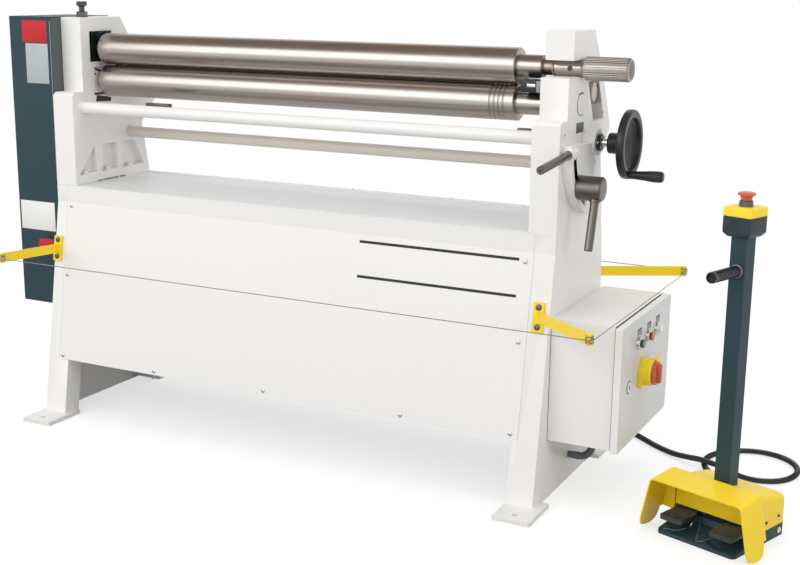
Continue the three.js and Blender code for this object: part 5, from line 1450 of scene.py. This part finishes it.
@dataclass
class Stand:
    """The folded stand: ends, panels, deck and their screws."""

    knee: float = 630.0
    knee_reach: float = 137.0
    foot_reach: float = 233.0
    foot_height: float = 12.0
    screw: float = 11.0
    side_places: Pair = (-690.0, 735.0)
    left_screws: tuple[float, ...] = (620.0, 420.0, 182.0)
    right_screws: tuple[float, ...] = (607.0, 411.0, 184.0)
    lower_screws: tuple[float, ...] = (-357.0, 11.0, 430.0)
    rail_screws: tuple[float, ...] = (63.0, 378.0, 669.0)
    bar_left: float = 273.0
    bar_right: float = 718.0
    bar_half: float = 3.4
    bar_heights: Pair = (611.5, 521.5)

    def front_face(self, height: float) -> tuple[float, Triple]:
        """Returns how far forward the front panel stands at a height, and which way it looks."""
        if height > self.knee:
            return self.knee_reach, (0.0, -1.0, 0.0)
        lean = (self.foot_reach - self.knee_reach) / (self.knee - self.foot_height)
        return self.knee_reach + (self.knee - height) * lean, (0.0, -1.0, lean)

    def sheets(self) -> None:
        """Makes the sheet pieces."""
        for node in ("left_stand_end", "right_stand_end"):
            dressed(node, "sheet", WHITE, 1.2)
        for node in ("front_panel", "rear_panel"):
            dressed(node, "sheet", WHITE, 0.6)
        dressed("base_top_plate", "sheet", GREY, 0.6)

    def screws(self) -> None:
        """Makes the panel screws and the deck rail's screws."""
        shape = Shape()
        rows = list(zip(self.side_places, (self.left_screws, self.right_screws)))
        rows += [(x, self.left_screws[-1:]) for x in self.lower_screws]
        for x, heights in rows:
            for z in heights:
                reach, normal = self.front_face(z)
                shape.screw((x, -reach, z), normal, self.screw, Head.BUTTON)
        shape.done("front_panel_screws", BRIGHT_STEEL, "machine")
        deck = room("base_top_plate")
        rail = Shape()
        for x in self.rail_screws:
            rail.screw((x, deck[1].y - 6, deck[1].z), Axis.Z.value, 7.0, Head.BUTTON)
        rail.done("deck_rail_screws", BRIGHT_STEEL, "machine")

    def bars(self) -> None:
        """Makes the two plain bars on the front panel."""
        shape = Shape()
        for middle in self.bar_heights:
            low, high = middle - self.bar_half, middle + self.bar_half
            near, far = self.front_face(low)[0], self.front_face(high)[0]
            outline = [(-near - 0.5, low), (-far - 0.5, high), (-far + 0.3, high), (-near + 0.3, low)]
            shape.prism(outline, self.bar_left, self.bar_right, Axis.X, 0.0)
        shape.done("front_panel_bars", MARK, "machine")

    def build(self) -> None:
        """Makes the stand."""
        self.sheets()
        self.screws()
        self.bars()


@dataclass
class Drive:
    """The gear cover with its plain plates, and the drive behind it."""

    plates: tuple[tuple[str, Finish, Pair, Pair], ...] = (
        ("red", RED_PLATE, (-846.0, 1088.0), (-754.0, 1150.0)),
        ("silver", TAG, (-836.0, 971.0), (-753.0, 1085.0)),
        ("card", CARD, (-887.0, 536.0), (-757.0, 622.0)),
    )
    label: tuple[Pair, ...] = (
        (-828.0, 486.0), (-768.0, 484.0), (-768.0, 506.0), (-776.0, 511.0), (-822.0, 509.0),
    )

    def cover(self) -> None:
        """Makes the cover and the plain plates on its front, with a painted highlight on its front right edge
        and painted glare on its side and top.
        """
        dressed("gear_cover", "sheet", TEAL, 1.6, rimmed=True)
        low, high = room("gear_cover")
        front, right, top = low.y, high.x, high.z
        proud, sunk = front - 0.6, front + 0.3
        for name, finish, first, last in self.plates:
            shape = Shape().block((first[0], proud, first[1]), (last[0], sunk, last[1]), 0.25)
            shape.done(f"gear_cover_{name}_plate", finish, "machine")
        label = Shape().prism(eased(self.label, 5.0, closed=True), proud, sunk, Axis.Y, 0.2)
        label.done("gear_cover_red_label", RED_PLATE, "machine")
        plug = Shape().block((-786, front - 1.5, 516), (-764, sunk, 528), 0.5)
        plug.done("gear_cover_plug", BLACK, "machine")
        # A thin light strip down the cover's front right edge: a painted highlight.
        edge = Shape().block((right - 0.9, front - 0.3, 692), (right + 0.3, front + 0.9, 1150), 0.0)
        edge.done("gear_cover_painted_edge_highlight", EDGE, "machine")
        # Thin skins of lighter teal over the cover's right side and top: painted glare.
        glare = Shape().block((right - 0.2, front + 3, 952), (right + 0.35, -92, top - 4), 0.0)
        glare.block((low.x + 4, front + 4, top - 0.2), (right - 3, 118, top + 0.35), 0.0)
        glare.done("gear_cover_painted_glare", TEAL_GLARE, "machine")

    def motor(self) -> None:
        """Makes the motor with its cooling fins and fan cowl, and the gearbox."""
        low, high = room("motor")
        start, end = low.x, high.x
        radius = (high.z - low.z) / 2
        neck, cowl = radius * 0.9, radius * 0.94
        profile = [
            (0, start), (neck, start), (neck, start + 22), (radius, start + 24), (radius, end - 70),
            (cowl, end - 68), (cowl, end - 6), (radius * 0.86, end), (0, end),
        ]

        def fin(angle: float, reach: float) -> float:
            """Sinks the gaps between the fins."""
            return -7.0 * (math.cos(angle * 36) > 0.1) if reach > radius * 0.97 else 0.0

        shape = Shape().turned(profile, axis_of("motor"), sides=288, ease=0.0, swell=fin)
        shape.done("motor_casting", TEAL, "machine", "motor", smooth=25.0)
        dressed("gearbox", "casting", IRON, 3.0)

    def sprockets(self) -> None:
        """Makes the sprockets and the chain."""
        for node in ("roll_sprocket", "drive_sprocket"):
            dressed(node, "steel", DARK_STEEL, 0.5)
        dressed("drive_chain", "links", DARK_STEEL, 0.5)

    def build(self) -> None:
        """Makes the drive."""
        self.cover()
        self.motor()
        self.sprockets()


@dataclass
class Levers:
    """The pinch lever, the clamp lever and the handwheel on the right frame."""

    pivot_y: float = 57.0
    pivot_z: float = 886.0
    rim: float = 178.0
    slot_radius: float = 154.2
    slot_half: float = 10.0
    slot_start: float = 190.0
    slot_end: float = 246.0
    lining: float = 0.2
    bar_angle: float = 184.4
    bar_radius: float = 10.0
    wheel_radius: float = 86.0
    clamp_y: float = -62.0
    clamp_z: float = 787.9
    clamp_lean: float = 15.5
    clamp_bar_x: float = 880.3
    hub_radius: float = 30.0
    hub_start: float = 835.3
    hub_end: float = 898.3

    def slot(self) -> list[Pair]:
        """Returns the closed outline of the sector's slot, just inside its edge."""
        centre = Vector((self.pivot_y, self.pivot_z))
        half = self.slot_half - self.lining
        start, end = self.slot_start, self.slot_end
        made: list[Pair] = []
        for side, first, last in ((1, start, end), (-1, end, start)):
            made += curve_arc(tuple(centre), self.slot_radius + side * half, first, last, 24)
            turn = math.radians(last)
            middle = centre + Vector((math.cos(turn), math.sin(turn))) * self.slot_radius
            begin = last if side > 0 else last + 180.0
            made += curve_arc(tuple(middle), half, begin, begin + 180.0, 10)[1:-1]
        return [*made, made[0]]

    def sector(self) -> None:
        """Makes the slotted sector from the node, and its bar."""
        dressed("pinch_lever_plate", "plate", WHITE, 0.9)
        inner = room("pinch_lever_plate")[0].x + 0.5
        wall = Shape().sheet([[(inner, a, b), (self.hub_start, a, b)] for a, b in self.slot()], 1.2)
        wall.done("pinch_lever_slot_lining", DARK_STEEL, "pinch_lever")
        low, high = room("pinch_lever_bar")
        angle = math.radians(self.bar_angle)
        way = Vector((0.0, math.cos(angle), math.sin(angle)))
        radius, start = self.bar_radius, self.rim - 20.0
        end = (self.pivot_y - low.y) / abs(way.y) - 0.5
        profile = [
            (0, start), (radius, start), (radius, end - 2.0), (radius - 1.5, end),
            (3.2, end), (1.2, end - 3), (0, end - 3),
        ]
        pivot = ((low.x + high.x) / 2, self.pivot_y, self.pivot_z)
        bar = Shape().turned(profile, pivot, way, 64, 0.0)
        bar.done("pinch_lever_bar_steel", LEVER_STEEL, "pinch_lever", "pinch_lever_bar")

    def clamp(self) -> None:
        """Makes the clamp lever: hub, stud and bar."""
        centre = (0, self.clamp_y, self.clamp_z)
        radius, start, end = self.hub_radius, self.hub_start, self.hub_end
        hub = [(0, start), (radius, start), (radius, end - 3.3), (radius - 3, end), (0, end)]
        shape = Shape().turned(hub, centre, sides=96, ease=0.8)
        stud = stepped(room("clamp_lever")[0].x, (8, start + 1))
        shape.turned(stud, centre, sides=40)
        lean = math.radians(self.clamp_lean)
        way = (0.0, -math.sin(lean), -math.cos(lean))
        root = (self.clamp_bar_x, self.clamp_y, self.clamp_z)
        bar = [(0, 20), (10.5, 20), (10.5, 150), (8.9, 152), (3, 152), (1, 149.5), (0, 149.5)]
        shape.turned(bar, root, way, 64, 0.0)
        shape.turned([(0, 26), (13, 26), (13, 33), (10.5, 34), (0, 34)], root, way, 64, 0.4)
        shape.done("clamp_lever_steel", LEVER_STEEL, "clamp_lever", "clamp_lever")

    def wheel(self) -> None:
        """Makes the handwheel, with its shaft and collar."""
        y, z = self.pivot_y, self.pivot_z
        centre = (0, y, z)
        low, high = room("handwheel_shaft")
        shaft = Shape().turned(stepped(low.x, (10, high.x)), centre, sides=64)
        shaft.done("handwheel_shaft_steel", BRIGHT_STEEL, "handwheel", "handwheel_shaft")
        bore, start, end = 10.1, 842.3, 851.5
        collar = [(bore, start), (20.5, start), (21.5, start + 1), (21.5, end - 1.5), (20, end), (bore, end)]
        shape = Shape().turned([*collar, collar[0]], centre, sides=72, ease=0.0)
        shape.done("handwheel_collar", BLACK, "handwheel")
        pin = Shape().screw((847, y - 21.3, z + 2), (0, -1, 0.1), 5.0, Head.SOCKET)
        pin.done("handwheel_collar_screw", BRIGHT_STEEL, "handwheel")
        outer = self.wheel_radius
        rim = [
            (10.3, 870), (25, 870), (26, 872), (26, 896), (32, 899), (62, 908), (68, 911.5), (outer - 5, 911),
            (outer - 1, 913), (outer, 917), (outer, 925), (outer - 1, 929), (outer - 5, 931),
            (outer - 17, 931), (outer - 20, 929), (outer - 22, 920), (60, 916), (28, 906), (20, 905),
            (0, 905), (0, 891.5), (10.3, 891.5), (10.3, 870),
        ]
        wheel = Shape().turned(rim, centre, sides=128, ease=1.0)
        wheel.done("handwheel_casting", BLACK, "handwheel", "handwheel")

    def grip(self) -> None:
        """Makes the crank grip."""
        low, high = room("crank_grip")
        start, end = low.x, high.x
        profile = [
            (0, start), (5, start), (5, start + 12.4), (9.6, start + 12.4), (10.2, start + 14),
            (10, start + 24), (10.4, start + 34), (11.6, start + 50), (13.4, start + 66), (14, start + 78),
            (13.6, start + 92), (12.4, end - 3), (10, end - 0.4), (5, end), (0, end),
        ]

        def rib(angle: float, reach: float) -> float:
            """Sinks shallow flats into the thick end of the grip."""
            return -0.5 * max(0.0, math.cos(angle * 12)) if reach > 12.5 else 0.0

        shape = Shape().turned(profile, axis_of("crank_grip"), sides=96, ease=0.8, swell=rib)
        shape.done("crank_grip_plastic", BLACK, "crank_grip", "crank_grip", smooth=50.0)

    def build(self) -> None:
        """Makes the levers and the handwheel."""
        self.sector()
        self.clamp()
        self.wheel()
        self.grip()


@dataclass
class Cabinet:
    """The switch cabinet with its door and controls."""

    row_height: float = 407.0
    places: Triple = (-20.0, 59.0, 138.0)
    tags: tuple[Pair, ...] = ((-13.0, 433.0), (70.0, 431.0), (148.0, 430.0))
    caps: tuple[tuple[str, Finish], ...] = (
        ("green_start_button", GREEN_MOULD), ("red_stop_button", RED_MOULD), ("signal_lamp", LENS),
    )
    lock_place: Pair = (-81.0, 309.0)
    isolator_y: float = 24.0
    isolator_z: float = 323.0
    door_skin: float = 992.0
    skin_inset: float = 2.5
    bend: float = 34.0
    rib_pitch: float = 2.0

    def boxes(self) -> None:
        """Makes the box, the door and the conduit."""
        dressed("cabinet_box", "sheet", WHITE, 1.2, rimmed=True)
        dressed("cabinet_door", "sheet", DOOR_WHITE, 2.2)
        low, high = room("cabinet_door")
        face, inset = self.door_skin, self.skin_inset
        first = (face - 0.2, low.y + inset, low.z + inset)
        last = (face + 0.3, high.y - inset, high.z - inset)
        Shape().block(first, last, 0.0).done("cabinet_door_skin", GREY_WHITE, "cabinet_door")
        self.conduit()
        low, high = room("cabinet_box")
        # A dark strip down the box's front left edge: painted shade in the gap there.
        edge_shade = Shape().block((low.x - 0.6, low.y - 0.6, low.z + 3), (low.x + 0.8, low.y + 1, high.z - 3), 0.0)
        edge_shade.done("cabinet_edge_painted_shade", MARK, "machine")

    def conduit(self) -> None:
        """Makes the ribbed conduit from its gland to the stand."""
        low, high = room("cabinet_conduit")
        y, radius = (low.y + high.y) / 2, (high.y - low.y) / 2
        right, foot = high.x - radius, low.z + radius
        bend, top = self.bend, foot + self.bend
        count = int((high.z - 8 - top) / self.rib_pitch)
        places = [(low.x, foot), (right - bend, foot)]
        places += curve_arc((right - bend, top), bend, -90, 0, 16)[1:]
        places += [(right, top + step * self.rib_pitch) for step in range(1, count)]
        radii = [radius - 0.4 if index % 2 else radius - 2.2 for index in range(len(places))]
        shape = Shape().tube([Vector((x, y, z)) for x, z in places], radii, 20)
        nut = stepped(high.z - 12, (radius, high.z - 0.3))
        shape.turned(nut, (right, y, 0), Axis.Z.value, 6, 0.0)
        shape.done("cabinet_conduit_ribbed", CONDUIT, "machine", "cabinet_conduit", smooth=60.0)

    def buttons(self) -> None:
        """Makes the bezels, the buttons' hollow caps and sleeves, and the lamp."""
        face = self.door_skin
        bezels, sleeves = Shape(), Shape()
        for y in self.places:
            ring = [(12.2, 0), (16, 0), (16, 2.5), (14.6, 7.6), (13.4, 8.6), (12.2, 8.2), (12.2, 0)]
            bezels.turned(ring, (face, y, self.row_height), sides=64, ease=0.0)
        bezels.done("button_bezels", BRIGHT_STEEL, "cabinet_door")
        for node, finish in self.caps:
            end = room(node)[1].x
            middle = axis_of(node)
            if node == "signal_lamp":
                cap = [(0, face), (11.5, face), (11.5, end - 2), (10, end), (7, end), (0, end)]
            else:
                skirt = end - 5.0
                cap = [
                    (0, end - 1.8), (9.6, end - 1.8), (9.6, skirt), (11.5, skirt), (11.5, end - 2),
                    (10, end), (8, end - 0.8), (0, end - 1.2),
                ]
                sleeves.turned(stepped(face, (9.3, skirt - 1.0)), middle, sides=48, ease=0.0)
            Shape().turned(cap, middle, sides=64, ease=0.7).done(f"{node}_cap", finish, BODY_OF[node], node)
        sleeves.done("button_sleeves", BLACK, "cabinet_door")

    def tag_row(self) -> None:
        """Makes the plain tags over the controls, each with a dark rim on two sides."""
        face = self.door_skin
        tags, rims = Shape(), Shape()
        for y, z in self.tags:
            right, top = y + 14.8, z + 8.8
            tags.block((face - 0.2, y - 14, z - 8), (face + 1.0, y + 14, z + 8), 0.4)
            rims.block((face, y - 14.8, z + 6.5), (face + 1.3, right, top), 0.0)
            rims.block((face, y + 13.2, z - 8.8), (face + 1.3, right, top), 0.0)
        tags.done("button_tags", TAG_DARK, "cabinet_door")
        rims.done("button_tag_rims", MARK, "cabinet_door")

    def lock(self) -> None:
        """Makes the door's lock and the ring round it."""
        face, (y, z) = self.door_skin, self.lock_place
        disc = [(0, -1), (14.5, -1), (14.5, 2), (12.5, 2.8), (4.5, 2.8), (4, 0.8), (0, 0.8)]
        Shape().turned(disc, (face, y, z), sides=48, ease=0.3).done("door_lock", CARD, "cabinet_door")
        ring = Shape().turned(hoop(14.4, 16.6, -0.5, 1), (face, y, z), sides=48, ease=0.0)
        ring.block((face + 0.5, y - 1.4, z - 7), (face + 2.9, y + 1.4, z + 7), 0.0)
        ring.done("door_lock_ring", MARK, "cabinet_door")

    def isolator(self) -> None:
        """Makes the isolator switch."""
        low, high = room("isolator_base")
        start = low.x
        y, z = self.isolator_y, self.isolator_z
        plate = [
            (y - 33, z - 36), (y + 33, z - 36), (y + 33, z + 12), (y + 12, z + 35),
            (y - 12, z + 35), (y - 33, z + 12),
        ]
        shape = Shape().prism(eased(plate, 5.0, closed=True), start, start + 12, Axis.X, 1.5)
        drum = [(0, 8), (34, 8), (34, 30.5), (32.5, 32), (0, 32)]
        shape.turned(drum, (start, y, z), sides=96, ease=0.6)
        hood = [(y, z + 14), (y + 58, z + 10), (y + 58, z + 38), (y, z + 38)]
        shape.prism(eased(hood, 3.0, closed=True), high.x - 4, high.x, Axis.X, 0.8)
        shape.done("isolator_base_yellow", YELLOW_MOULD, "cabinet_door", "isolator_base")
        low, high = room("isolator_knob")
        end = high.x
        knob = Shape().turned(stepped(low.x, (5, end - 19)), (0, y, z), sides=32)
        disc = [(0, end - 20), (30, end - 20), (30, end - 12), (28.5, end - 10), (0, end - 10)]
        knob.turned(disc, (0, y, z), sides=96)
        knob.block((end - 18, y - 8, z - 26), (end, y + 8, z + 26), 6.0)
        knob.done("isolator_knob_red", RED_MOULD, "isolator_knob", "isolator_knob")

    def build(self) -> None:
        """Makes the cabinet."""
        self.boxes()
        self.buttons()
        self.tag_row()
        self.lock()
        self.isolator()


@dataclass
class TripWire:
    """The trip arms with their bolts, and the wire round the machine."""

    arms: tuple[tuple[str, float], ...] = (
        ("front_left_trip_arm", 494.0),
        ("front_right_trip_arm", 478.0),
        ("rear_left_trip_arm", 518.0),
        ("rear_right_trip_arm", 518.0),
    )
    left_root: float = -729.0
    right_root: float = 782.0
    left_tip: float = -725.0
    right_tip: float = 990.0
    tip_reach: float = 395.0
    front_sheet: Triple = (630.0, 137.0, 96.0 / 618.0)
    rear_sheet: Triple = (580.0, 203.0, 22.0 / 568.0)
    bracket: float = 6.3
    eye: float = 9.2
    turns: int = 5
    steps: int = 22
    wire: float = 1.5
    strand: float = 1.15
    corner: float = 9.8

    def bolts(self, node: str, height: float) -> None:
        """Makes the two bolts of an arm's bracket, at a height."""
        x = self.left_root if "left" in node else self.right_root
        front = "front" in node
        knee, near, slope = self.front_sheet if front else self.rear_sheet
        side = -1.0 if front else 1.0
        shape = Shape()
        for z in (height - 23.0, height + 25.0):
            y = side * (near + (knee - z) * slope + self.bracket)
            shape.screw((x, y, z), (0.0, side, slope), 12.0, Head.BUTTON, washer=True)
        shape.done(f"{node}_bolts", LEVER_STEEL, "machine")

    def winding(self, node: str) -> None:
        """Winds the wire's end round the eye at an arm's tip."""
        x = self.left_tip if "left" in node else self.right_tip
        y = -self.tip_reach if "front" in node else self.tip_reach
        z = axis_of("trip_wire")[2]
        route = []
        for step in range(self.turns * self.steps + 1):
            angle = FULL_TURN * step / self.steps
            rise = 8.0 * math.sin(angle * 0.42)
            route.append(Vector((x + self.eye * math.cos(angle), y + self.eye * math.sin(angle), z + rise)))
        Shape().tube(route, [1.0], 6).done(f"{node}_wire_winding", WIRE_STEEL, "machine")

    def build(self) -> None:
        """Makes the arms and the wire."""
        for node, height in self.arms:
            dressed(node, "bar", YELLOW, 0.8)
            self.bolts(node, height)
            self.winding(node)
        low, high = room("trip_wire")
        z = (low.z + high.z) / 2
        front, rear, right = low.y + self.wire, high.y - self.wire, high.x - self.wire
        corner = self.corner
        places = [(low.x, front), (right - corner, front)]
        places += curve_arc((right - corner, front + corner), corner, -80, 0, 6)
        places += curve_arc((right - corner, rear - corner), corner, 0, 90, 6)
        places.append((low.x, rear))
        shape = Shape().tube([Vector((x, y, z)) for x, y in places], [self.strand], 10)
        shape.done("trip_wire_strand", WIRE_STEEL, "machine", "trip_wire")


@dataclass
class FootPedestal:
    """The foot pedestal with its pedals, guard, post and stop button."""

    x: float = 1211.0
    y: float = -232.0
    turn: float = -19.0
    post_back: float = 121.0
    base_half: float = 105.0
    base_depth: float = 213.0
    base_height: float = 36.0
    guard_front: float = -13.0
    hood_end: float = 74.0
    hood_half: float = 119.0
    flare: float = 27.0
    long_ridge: tuple[Pair, ...] = ((-34, 78), (-24, 58), (-13, 35), (-4, 16), (3, 5))
    short_ridge: tuple[Pair, ...] = ((4, 9), (13, 14), (16, 27), (19, 42))
    left_ridge: tuple[Pair, ...] = ((-92, 10), (-80, 20), (-66, 26), (-52, 48))
    hood_heights: Pair = (133.0, 141.0)
    cover_half: float = 107.0
    cover_tops: tuple[Pair, ...] = (
        (76.0, 125.0), (100.0, 122.0), (130.0, 118.0), (160.0, 113.5), (185.0, 109.0), (198.0, 106.0),
    )
    wall: float = 3.0
    round_off: float = 12.0
    shelf_start: float = 79.0
    toe: float = 8.0
    climb: float = 14.0
    bay_place: Pair = (54.0, 42.0)
    bay_size: Pair = (47.0, 36.0)
    bay_depth: float = 4.0
    hinge: Triple = (0.0, 96.0, 44.0)
    tongue: tuple[Pair, ...] = (
        (-13, 33), (-12, 24), (-9.5, 16), (-5, 10), (2, 6), (12, 3.5), (24, 2.5), (36, 2.8), (45, 5),
        (52, 9), (57, 15), (60, 23), (61.5, 31), (62.5, 38.5), (68, 38.5), (74, 38.5),
    )
    plan: tuple[Pair, ...] = ((0, -2), (62, -2), (62, 62), (56, 74), (54, 98), (28, 98), (26, 74), (0, 74))
    grip_length: float = 106.0
    grip_rings: int = 9
    grip_pitch: float = 9.6

    def shape(self) -> Shape:
        """Starts a shape in the pedestal's own place on the floor."""
        turned = Matrix.Rotation(math.radians(self.turn), 4, "Z")
        return Shape(Matrix.Translation((self.x, self.y, 0.0)) @ turned)

    def heights(self, node: str) -> Pair:
        """Returns a node's lowest and highest place over the floor."""
        low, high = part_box(node)
        return low.z / MM, high.z / MM

    def base(self) -> None:
        """Makes the base with its two scooped bays, and the pedals' ears."""

        def half(y: float) -> float:
            """Returns the half width, with rounded front corners."""
            size = self.round_off
            return self.base_half - size + math.sqrt(max(0.0, size**2 - max(0.0, size - y) ** 2))

        def top(x: float, y: float) -> float:
            """Returns the height of the slope, its bays and ridges, and the shelf."""
            rise = min(1.0, max(0.0, (y - self.shelf_start) / 5.0))
            if rise >= 1.0:
                return self.base_height
            slope = self.toe + self.climb * y / 80.0 - 2.0 * max(0.0, 1.0 - y / 3.0) ** 2
            (right, back), (wide, deep) = self.bay_place, self.bay_size
            bay = math.hypot((abs(x) - right) / wide, (y - back) / deep)
            slope -= self.bay_depth * min(1.0, max(0.0, (1.0 - bay) / 0.3))
            return slope + (self.base_height - slope) * rise

        rows = [step * 0.6 for step in range(20)] + [12.0 + step * 1.5 for step in range(44)]
        rows += [78.0 + step for step in range(8)] + [88.0, 120.0, 160.0, self.base_depth]
        shape = self.shape().relief(half, rows, top, 140)
        for side in (-1, 1):
            for x in (33.2, 100.8):
                shape.block((side * x - 2.5, 89, 35), (side * x + 2.5, 103, 51), 0.8)
        shape.done("pedal_base_casting", TEAL, "machine", "pedal_base", smooth=40.0)
        # The ridges are real; their lighter teal is a painted highlight.
        ridges = self.shape()
        for places in (self.long_ridge, self.short_ridge, self.left_ridge):
            route = [Vector((x, y, top(x, y) + 0.3)) for x, y in eased(places, 8.0, 6)]
            ridges.tube(route, [1.5], 8)
        ridges.done("pedal_base_ridges", RIDGE, "machine")
        springs = self.shape()
        wound = [0.35 * step for step in range(14)]
        for x in (-31.0, 31.0):
            coil = [Vector((x, 40 + 7.5 * math.cos(turn), 31 + 7.5 * math.sin(turn))) for turn in wound]
            springs.tube(coil, [1.3], 8)
        springs.done("pedal_return_springs", BRIGHT_STEEL, "machine")
        sticker = self.shape().turned(stepped(0, (7.5, 0.6)), (self.base_half, 198, 15), sides=40, ease=0.1)
        sticker.done("pedal_base_plain_sticker", CARD, "machine")

    def guard(self) -> None:
        """Makes the yellow guard: hood with rounded tongues, cover and inner wall."""

        def arch(y: float, foot: float, halves: Pair, height: float, round_off: float) -> list[Triple]:
            """Returns one section, from its left foot over the top to its right foot."""
            wide, narrow = halves
            corners = [(-wide, foot), (-narrow, height), (narrow, height), (wide, foot)]
            return [(x, y, z) for x, z in eased(corners, round_off, 6)]

        rows = []
        start, end = self.guard_front, self.hood_end
        for y, foot in self.tongue:
            low, high = self.hood_heights
            height = low + (high - low) * (y - start) / (end - start)
            reach = self.hood_half + self.flare * (height - foot) / (height - 6.0)
            rows.append(arch(y, foot, (reach, self.hood_half), height, 8.0))
        foot = self.base_height + 0.3
        half = self.cover_half
        rows.append(arch(end + 0.8, foot, (half, half), self.cover_tops[0][1] - 0.5, 14.0))
        for y, tall in self.cover_tops:
            rows.append(arch(y, foot, (half, half), tall, 16.0))
        rear = self.base_depth
        tall = self.cover_tops[-1][1]
        for back, inset in ((9.0, 1.0), (4.0, 4.0), (1.0, 8.5)):
            rows.append(arch(rear - back, foot, (half - inset, half - inset), tall - inset - 1, 15.0))
        last = arch(rear, foot, (half - 14, half - 14), tall - 15, 12.0)
        rows.append(last)
        shape = self.shape().sheet(rows, self.wall)
        shape.prism([(x, z) for x, _, z in last], rear - 2.5, rear, Axis.Y, 0.0)
        inner = [(-104, 54), (104, 54), (104, 112), (96, 120), (-96, 120), (-104, 112)]
        shape.prism(inner, end + 1, end + 4, Axis.Y, 0.5)
        shape.done("pedal_guard_moulding", YELLOW, "machine", "pedal_guard", smooth=45.0)
        screws = self.shape()
        for y, z in ((126, 55.6), (180.5, 57.8)):
            screws.screw((half, y, z), Axis.X.value, 8.0, Head.SOCKET)
        screws.done("pedal_guard_screws", BLACK, "machine")

    def pedals(self) -> None:
        """Makes the two pedals, each with its arm, barrel and pin."""
        for node, left in (("left_pedal", -98.0), ("right_pedal", 36.0)):
            outline = eased([(left + x, y) for x, y in self.plan], 7.0, closed=True)
            shape = self.shape().prism(outline, 38.0, 50.0, Axis.Z, 1.8)
            for y in range(12, 61, 12):
                shape.block((left + 8, y - 1, 49.6), (left + 54, y + 1, 50.6), 0.4)
            shape.turned(stepped(left + 0.5, (6, left + 61.5)), self.hinge, sides=32)
            shape.turned(stepped(left - 5, (3, left + 67)), self.hinge, sides=24)
            shape.done(f"{node}_tread", PEDAL_FACE, node, node)

    def station(self) -> None:
        """Makes the stop station: box, lid, collar and mushroom."""

        def square(half: float, round_off: float = 4.0) -> list[Pair]:
            """Returns a rounded square round the post."""
            back = self.post_back
            corners = [(-half, back - half), (half, back - half), (half, back + half), (-half, back + half)]
            return eased(corners, round_off, 5, closed=True)

        low, high = self.heights("stop_box")
        halves = (27.0, 28.5, 35.0, 36.0, 36.0)
        levels = (low, low + 0.8, low + 8.5, low + 11, high)
        box = self.shape().stack([square(half) for half in halves], levels)
        box.done("stop_box_moulding", TEAL_MOULD, "machine", "stop_box", smooth=28.0)
        low, high = self.heights("stop_box_lid")
        shoulder = high - 13.0
        halves = (35.6, 36.3, 36.1, 35.2, 33.8)
        levels = (low, low + 0.8, shoulder - 3.2, shoulder - 0.8, shoulder)
        lid = self.shape().stack([square(half) for half in halves], levels)
        lid.done("stop_box_lid_moulding", YELLOW_MOULD, "machine", "stop_box_lid", smooth=28.0)
        centre, up = (0, self.post_back, 0), Axis.Z.value
        foot = shoulder - 1
        ring = [(13.4, foot), (16, foot), (16, shoulder + 3), (15, high), (13.4, high), (13.4, foot)]
        self.shape().turned(ring, centre, up, 64, 0.0).done("stop_station_collar", COLLAR, "machine")
        low, high = self.heights("stop_mushroom")
        profile = [
            (0, low + 3), (6, low + 3), (6, high - 19.5), (12.4, high - 19.5), (12.8, high - 14),
            (14.8, high - 10.5), (16.3, high - 8.6), (20.5, high - 7), (20.5, high - 5),
            (18.6, high - 2), (12, high - 0.4), (0, high),
        ]
        cap = self.shape().turned(profile, centre, up, 72, 0.6)
        cap.done("stop_mushroom_cap", RED_MOULD, "stop_mushroom", "stop_mushroom")

    def grip(self) -> None:
        """Makes the ribbed carry grip with its two rings."""
        low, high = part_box("carry_grip")
        length = self.grip_length
        place = (0, self.post_back - 20.5 - 0.3 - length, (low.z + high.z) / 2 / MM)
        profile = [(0, 5), (8.5, 5), (9, 0), (11.5, 0), (12.6, 1.5), (13, 5)]
        for ring in range(self.grip_rings):
            at = 14 + ring * self.grip_pitch
            profile += [(13.5, at), (13.5, at + 5.4), (12.5, at + 6.6), (12.5, at + 8.4)]
        profile += [(13.6, length - 5), (13.6, length), (0, length)]
        shape = self.shape().turned(profile, place, Axis.Y.value, 64, 0.5)
        shape.done("carry_grip_rubber", RUBBER, "machine", "carry_grip")
        rings = self.shape()
        for at, radius, width in ((6.5, 13.5, 1.4), (103.0, 15.5, 3.0)):
            rings.turned(hoop(11, radius, at, at + width), place, Axis.Y.value, 64, 0.0)
        rings.done("carry_grip_rings", GREY_METAL, "machine")

    def build(self) -> None:
        """Makes the pedestal."""
        self.base()
        self.guard()
        self.pedals()
        dressed("pedestal_post", "tube", TEAL, 2.5)
        self.station()
        self.grip()
        for node in ("machine_hose_gland", "pedestal_hose_gland"):
            dressed(node, "gland", BLACK, 0.8)


def main() -> None:
    """Builds the studio, the hose and each part of the machine in order."""
    logging.basicConfig(level=logging.INFO, format="%(name)s: %(message)s")
    Studio().build()
    PedalHose().build()
    for part in (Rolls(), SideFrames(), Stand(), Drive(), Levers(), Cabinet(), TripWire(), FootPedestal()):
        LOG.info("building %s", type(part).__name__)
        part.build()


if __name__ == "__main__":
    main()
